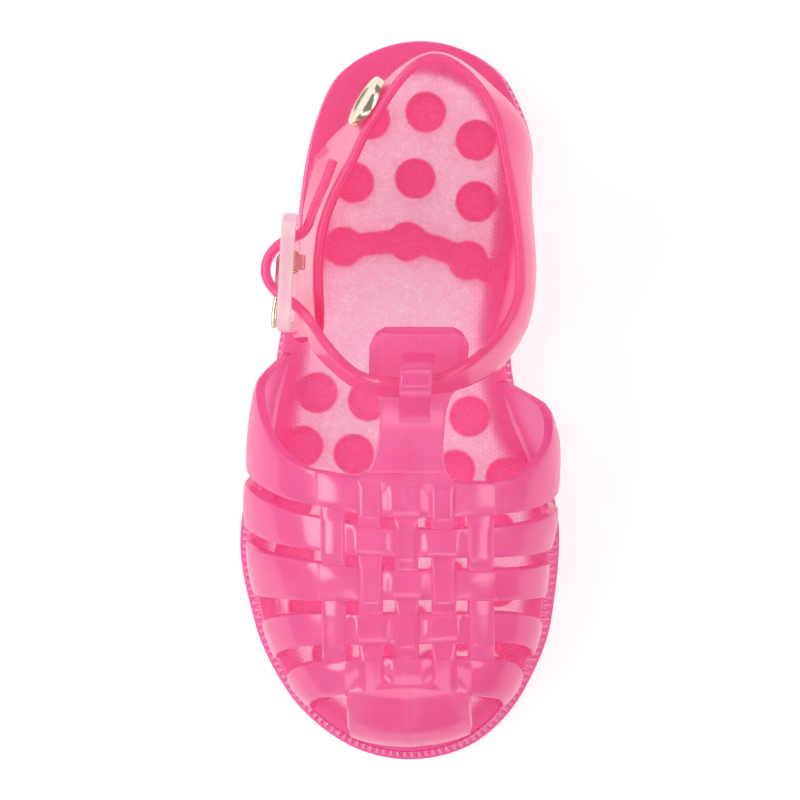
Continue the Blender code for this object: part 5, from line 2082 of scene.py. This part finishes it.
    def build(self, clear: JellyFinish, gold: GoldFinish) -> list[bpy.types.Object]:
        """Makes frame, block and prong and dresses them.

        Args:
            clear: finish of frame and block.
            gold: finish of the prong.

        Returns:
            The finished pieces.
        """
        glassy, metal = clear.material(), gold.material()
        plan = [
            ("clear_frame", self.frame_mesh(), "buckle_frame", Slot.CLEAR, glassy),
            ("clear_block", self.base_mesh(), "buckle_base", Slot.CLEAR, glassy),
            ("gold_prong", self.prong_mesh(), "buckle_prong", Slot.GOLD, metal),
        ]
        made = []
        for name, data, node, slot, finish in plan:
            data.transform(self.place())
            made.append(show(name, data, node, slot, finish))
        return made


@dataclass
class Stud:
    """Turned metal disc with a raised rim on the heel strap."""

    row: float = 7.4
    radius: float = 6.6
    rim: float = 1.1
    height: float = 2.2
    face_drop: float = 0.5
    sides: int = 96
    crease: float = 30.0
    back_round: Pairs = field(default_factory=lambda: [(0.4, 0.0), (0.1, 0.15), (0.0, 0.5)])
    rim_round: Pairs = field(default_factory=lambda: [(0.0, 0.5), (0.12, 0.15), (0.45, 0.0)])
    well_round: Pairs = field(default_factory=lambda: [(-0.3, 0.0), (0.0, 0.12)])
    well_slope: float = 0.35
    dome: Pairs = field(default_factory=lambda: [(0.6, 0.85), (0.25, 0.75)])

    def mesh(self) -> bpy.types.Mesh:
        """Disc standing on its back face: a rounded edge, a rim and a slightly domed well.

        Returns:
            Its mesh.
        """
        well = self.radius - self.rim
        outline = [(self.radius - inward, up) for inward, up in self.back_round]
        outline += [(self.radius - inward, self.height - down) for inward, down in self.rim_round]
        outline += [(well - inward, self.height - down) for inward, down in self.well_round]
        outline.append((well - self.well_slope, self.height - self.face_drop))
        outline += [(well * share, self.height - self.face_drop * drop) for share, drop in self.dome]
        turn = turns(self.sides)
        shell = Shell()
        shell.tube([shell.ring(circle(turn, radius, z)) for radius, z in outline])
        return shell.mesh("stud")

    def build(self, quarters: Quarters, gold: GoldFinish) -> bpy.types.Object:
        """Seats the disc on the heel strap and dresses it.

        Args:
            quarters: what it sits on.
            gold: its finish.

        Returns:
            The finished piece.
        """
        data = self.mesh()
        centre, direction = quarters.seat(self.row, self.radius)
        turn = Vector(direction).to_track_quat("Z", "Y").to_matrix().to_4x4()
        data.transform(Matrix.Translation(Vector(centre) * MM) @ turn)
        return show("gold_stud", data, "stud", Slot.GOLD, gold.material(), self.crease)


class Softbox(NamedTuple):
    """A soft lamp: place and size in metres, brightness against a white sky of 1."""

    name: str
    at: tuple[float, float, float]
    size: tuple[float, float]
    glow: float


@dataclass
class Studio:
    """Pale floor, soft light and a camera nearly straight above."""

    camera_at: tuple[float, float, float] = (0.04, 0.0, 1.0)
    camera_to: tuple[float, float, float] = (0.0, 0.0, 0.0)
    lens: float = 180.0
    nearest: float = 0.01
    floor_size: float = 6.0
    floor_drop: float = 0.15
    sky: float = 0.25
    white: Colour = (1.0, 1.0, 1.0)
    softboxes: list[Softbox] = field(default_factory=lambda: [
        Softbox("softbox_left", (-0.8, 0.0, 0.85), (0.34, 1.5), 5.8),
        Softbox("softbox_right", (0.8, 0.0, 0.85), (0.34, 1.5), 3.2),
        Softbox("softbox_heel", (0.0, 0.95, 0.8), (1.1, 0.3), 2.2),
        Softbox("softbox_toe", (0.0, -0.95, 0.8), (1.1, 0.3), 2.2),
    ])
    bounces: int = 16
    surface_bounces: int = 8

    def floor(self) -> None:
        """A large floor, a hair below the lugs so that light passes between them and it."""
        half = self.floor_size / 2
        low = -self.floor_drop * MM
        data = bpy.data.meshes.new("floor")
        corners = [(-half, -half, low), (half, -half, low), (half, half, low), (-half, half, low)]
        data.from_pydata(corners, [], [(0, 1, 2, 3)])
        data.materials.append(FloorFinish().material())
        item = bpy.data.objects.new("floor", data)
        bpy.context.scene.collection.objects.link(item)
        item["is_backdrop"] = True

    def light(self, box: Softbox) -> None:
        """Sets up one softbox, aimed at the shoe with its second side along the foot.

        Args:
            box: the lamp.
        """
        lamp = bpy.data.lights.new(box.name, "AREA")
        lamp.shape = "RECTANGLE"
        lamp.size, lamp.size_y = box.size
        lamp.energy = box.glow * math.pi * box.size[0] * box.size[1]
        item = bpy.data.objects.new(box.name, lamp)
        item.location = box.at
        item.rotation_euler = self.aim(Vector(box.at), Vector(self.camera_to))
        bpy.context.scene.collection.objects.link(item)

    def aim(self, at: Vector, to: Vector) -> Euler:
        """Turn of a camera that looks from one place to another with the heel at the top.

        Args:
            at: where it stands.
            to: what it looks at.

        Returns:
            The turn.
        """
        back = (at - to).normalized()
        right = Vector((0.0, 1.0, 0.0)).cross(back).normalized()
        return Matrix((right, back.cross(right), back)).transposed().to_euler()

    def build(self) -> None:
        """Sets floor, lights, sky and camera."""
        scene = bpy.context.scene
        self.floor()
        for box in self.softboxes:
            self.light(box)
        sky = bpy.data.worlds.new("soft_white")
        sky.use_nodes = True
        glow = sky.node_tree.nodes["Background"]
        glow.inputs["Color"].default_value = self.white + (1.0,)
        glow.inputs["Strength"].default_value = self.sky
        scene.world = sky
        view = bpy.data.cameras.new("camera")
        view.lens = self.lens
        view.clip_start = self.nearest
        item = bpy.data.objects.new("camera", view)
        item.location = self.camera_at
        item.rotation_euler = self.aim(Vector(self.camera_at), Vector(self.camera_to))
        scene.collection.objects.link(item)
        scene.camera = item
        scene.view_settings.view_transform = "Standard"
        scene.cycles.max_bounces = self.bounces
        scene.cycles.transmission_bounces = self.bounces
        scene.cycles.diffuse_bounces = self.surface_bounces
        scene.cycles.glossy_bounces = self.surface_bounces
        scene.cycles.blur_glossy = 0.0
        scene.cycles.use_denoising = True


def write_sizes() -> None:
    """Gathers the CAD box and the box of the dressed sandal, and keeps neither."""
    boxes = {"cad": CAD_BOX, "visual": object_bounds()}
    {name: [list(corner) for corner in box] for name, box in boxes.items()}


def main() -> None:
    """Builds every piece of the sandal and the studio round it."""
    logging.basicConfig(level=logging.INFO, format="%(message)s")
    # The sole's finish carries the painted glint lines on the footbed
    bed = JellyFinish(
        "jelly_sole", tint=(0.94, 0.71, 0.83), dark_tint=(0.92, 0.36, 0.59), body=(0.98, 0.19, 0.58),
        passing=(0.981, 0.06, 0.53), ripple=0.3, coat=1.0, grain_ripples_and_glints=True,
    )
    front = JellyFinish("jelly_vamp", coat=0.4, coat_roughness=0.16, body=(1.0, 0.27, 0.63))
    back = JellyFinish(
        "jelly_quarters", body=(1.0, 0.22, 0.56), passing=(0.985, 0.06, 0.38), density=120.0, ior=1.4,
        coat=0.3, coat_roughness=0.12,
    )
    clear = JellyFinish(
        "clear_vinyl", tint=(1.0, 0.99, 0.99), dark_tint=(0.98, 0.40, 0.48), body=(1.0, 0.86, 0.90),
        passing=(0.99, 0.82, 0.85), density=22.0, mottle=0.04,
    )
    gold = GoldFinish()
    sole = Sole()
    sole.build(bed)
    Vamp(Last(sole)).build(front)
    quarters = Quarters(sole)
    quarters.build(back)
    Buckle().build(clear, gold)
    Stud().build(quarters, gold)
    Studio().build()
    write_sizes()


if __name__ == "__main__":
    main()
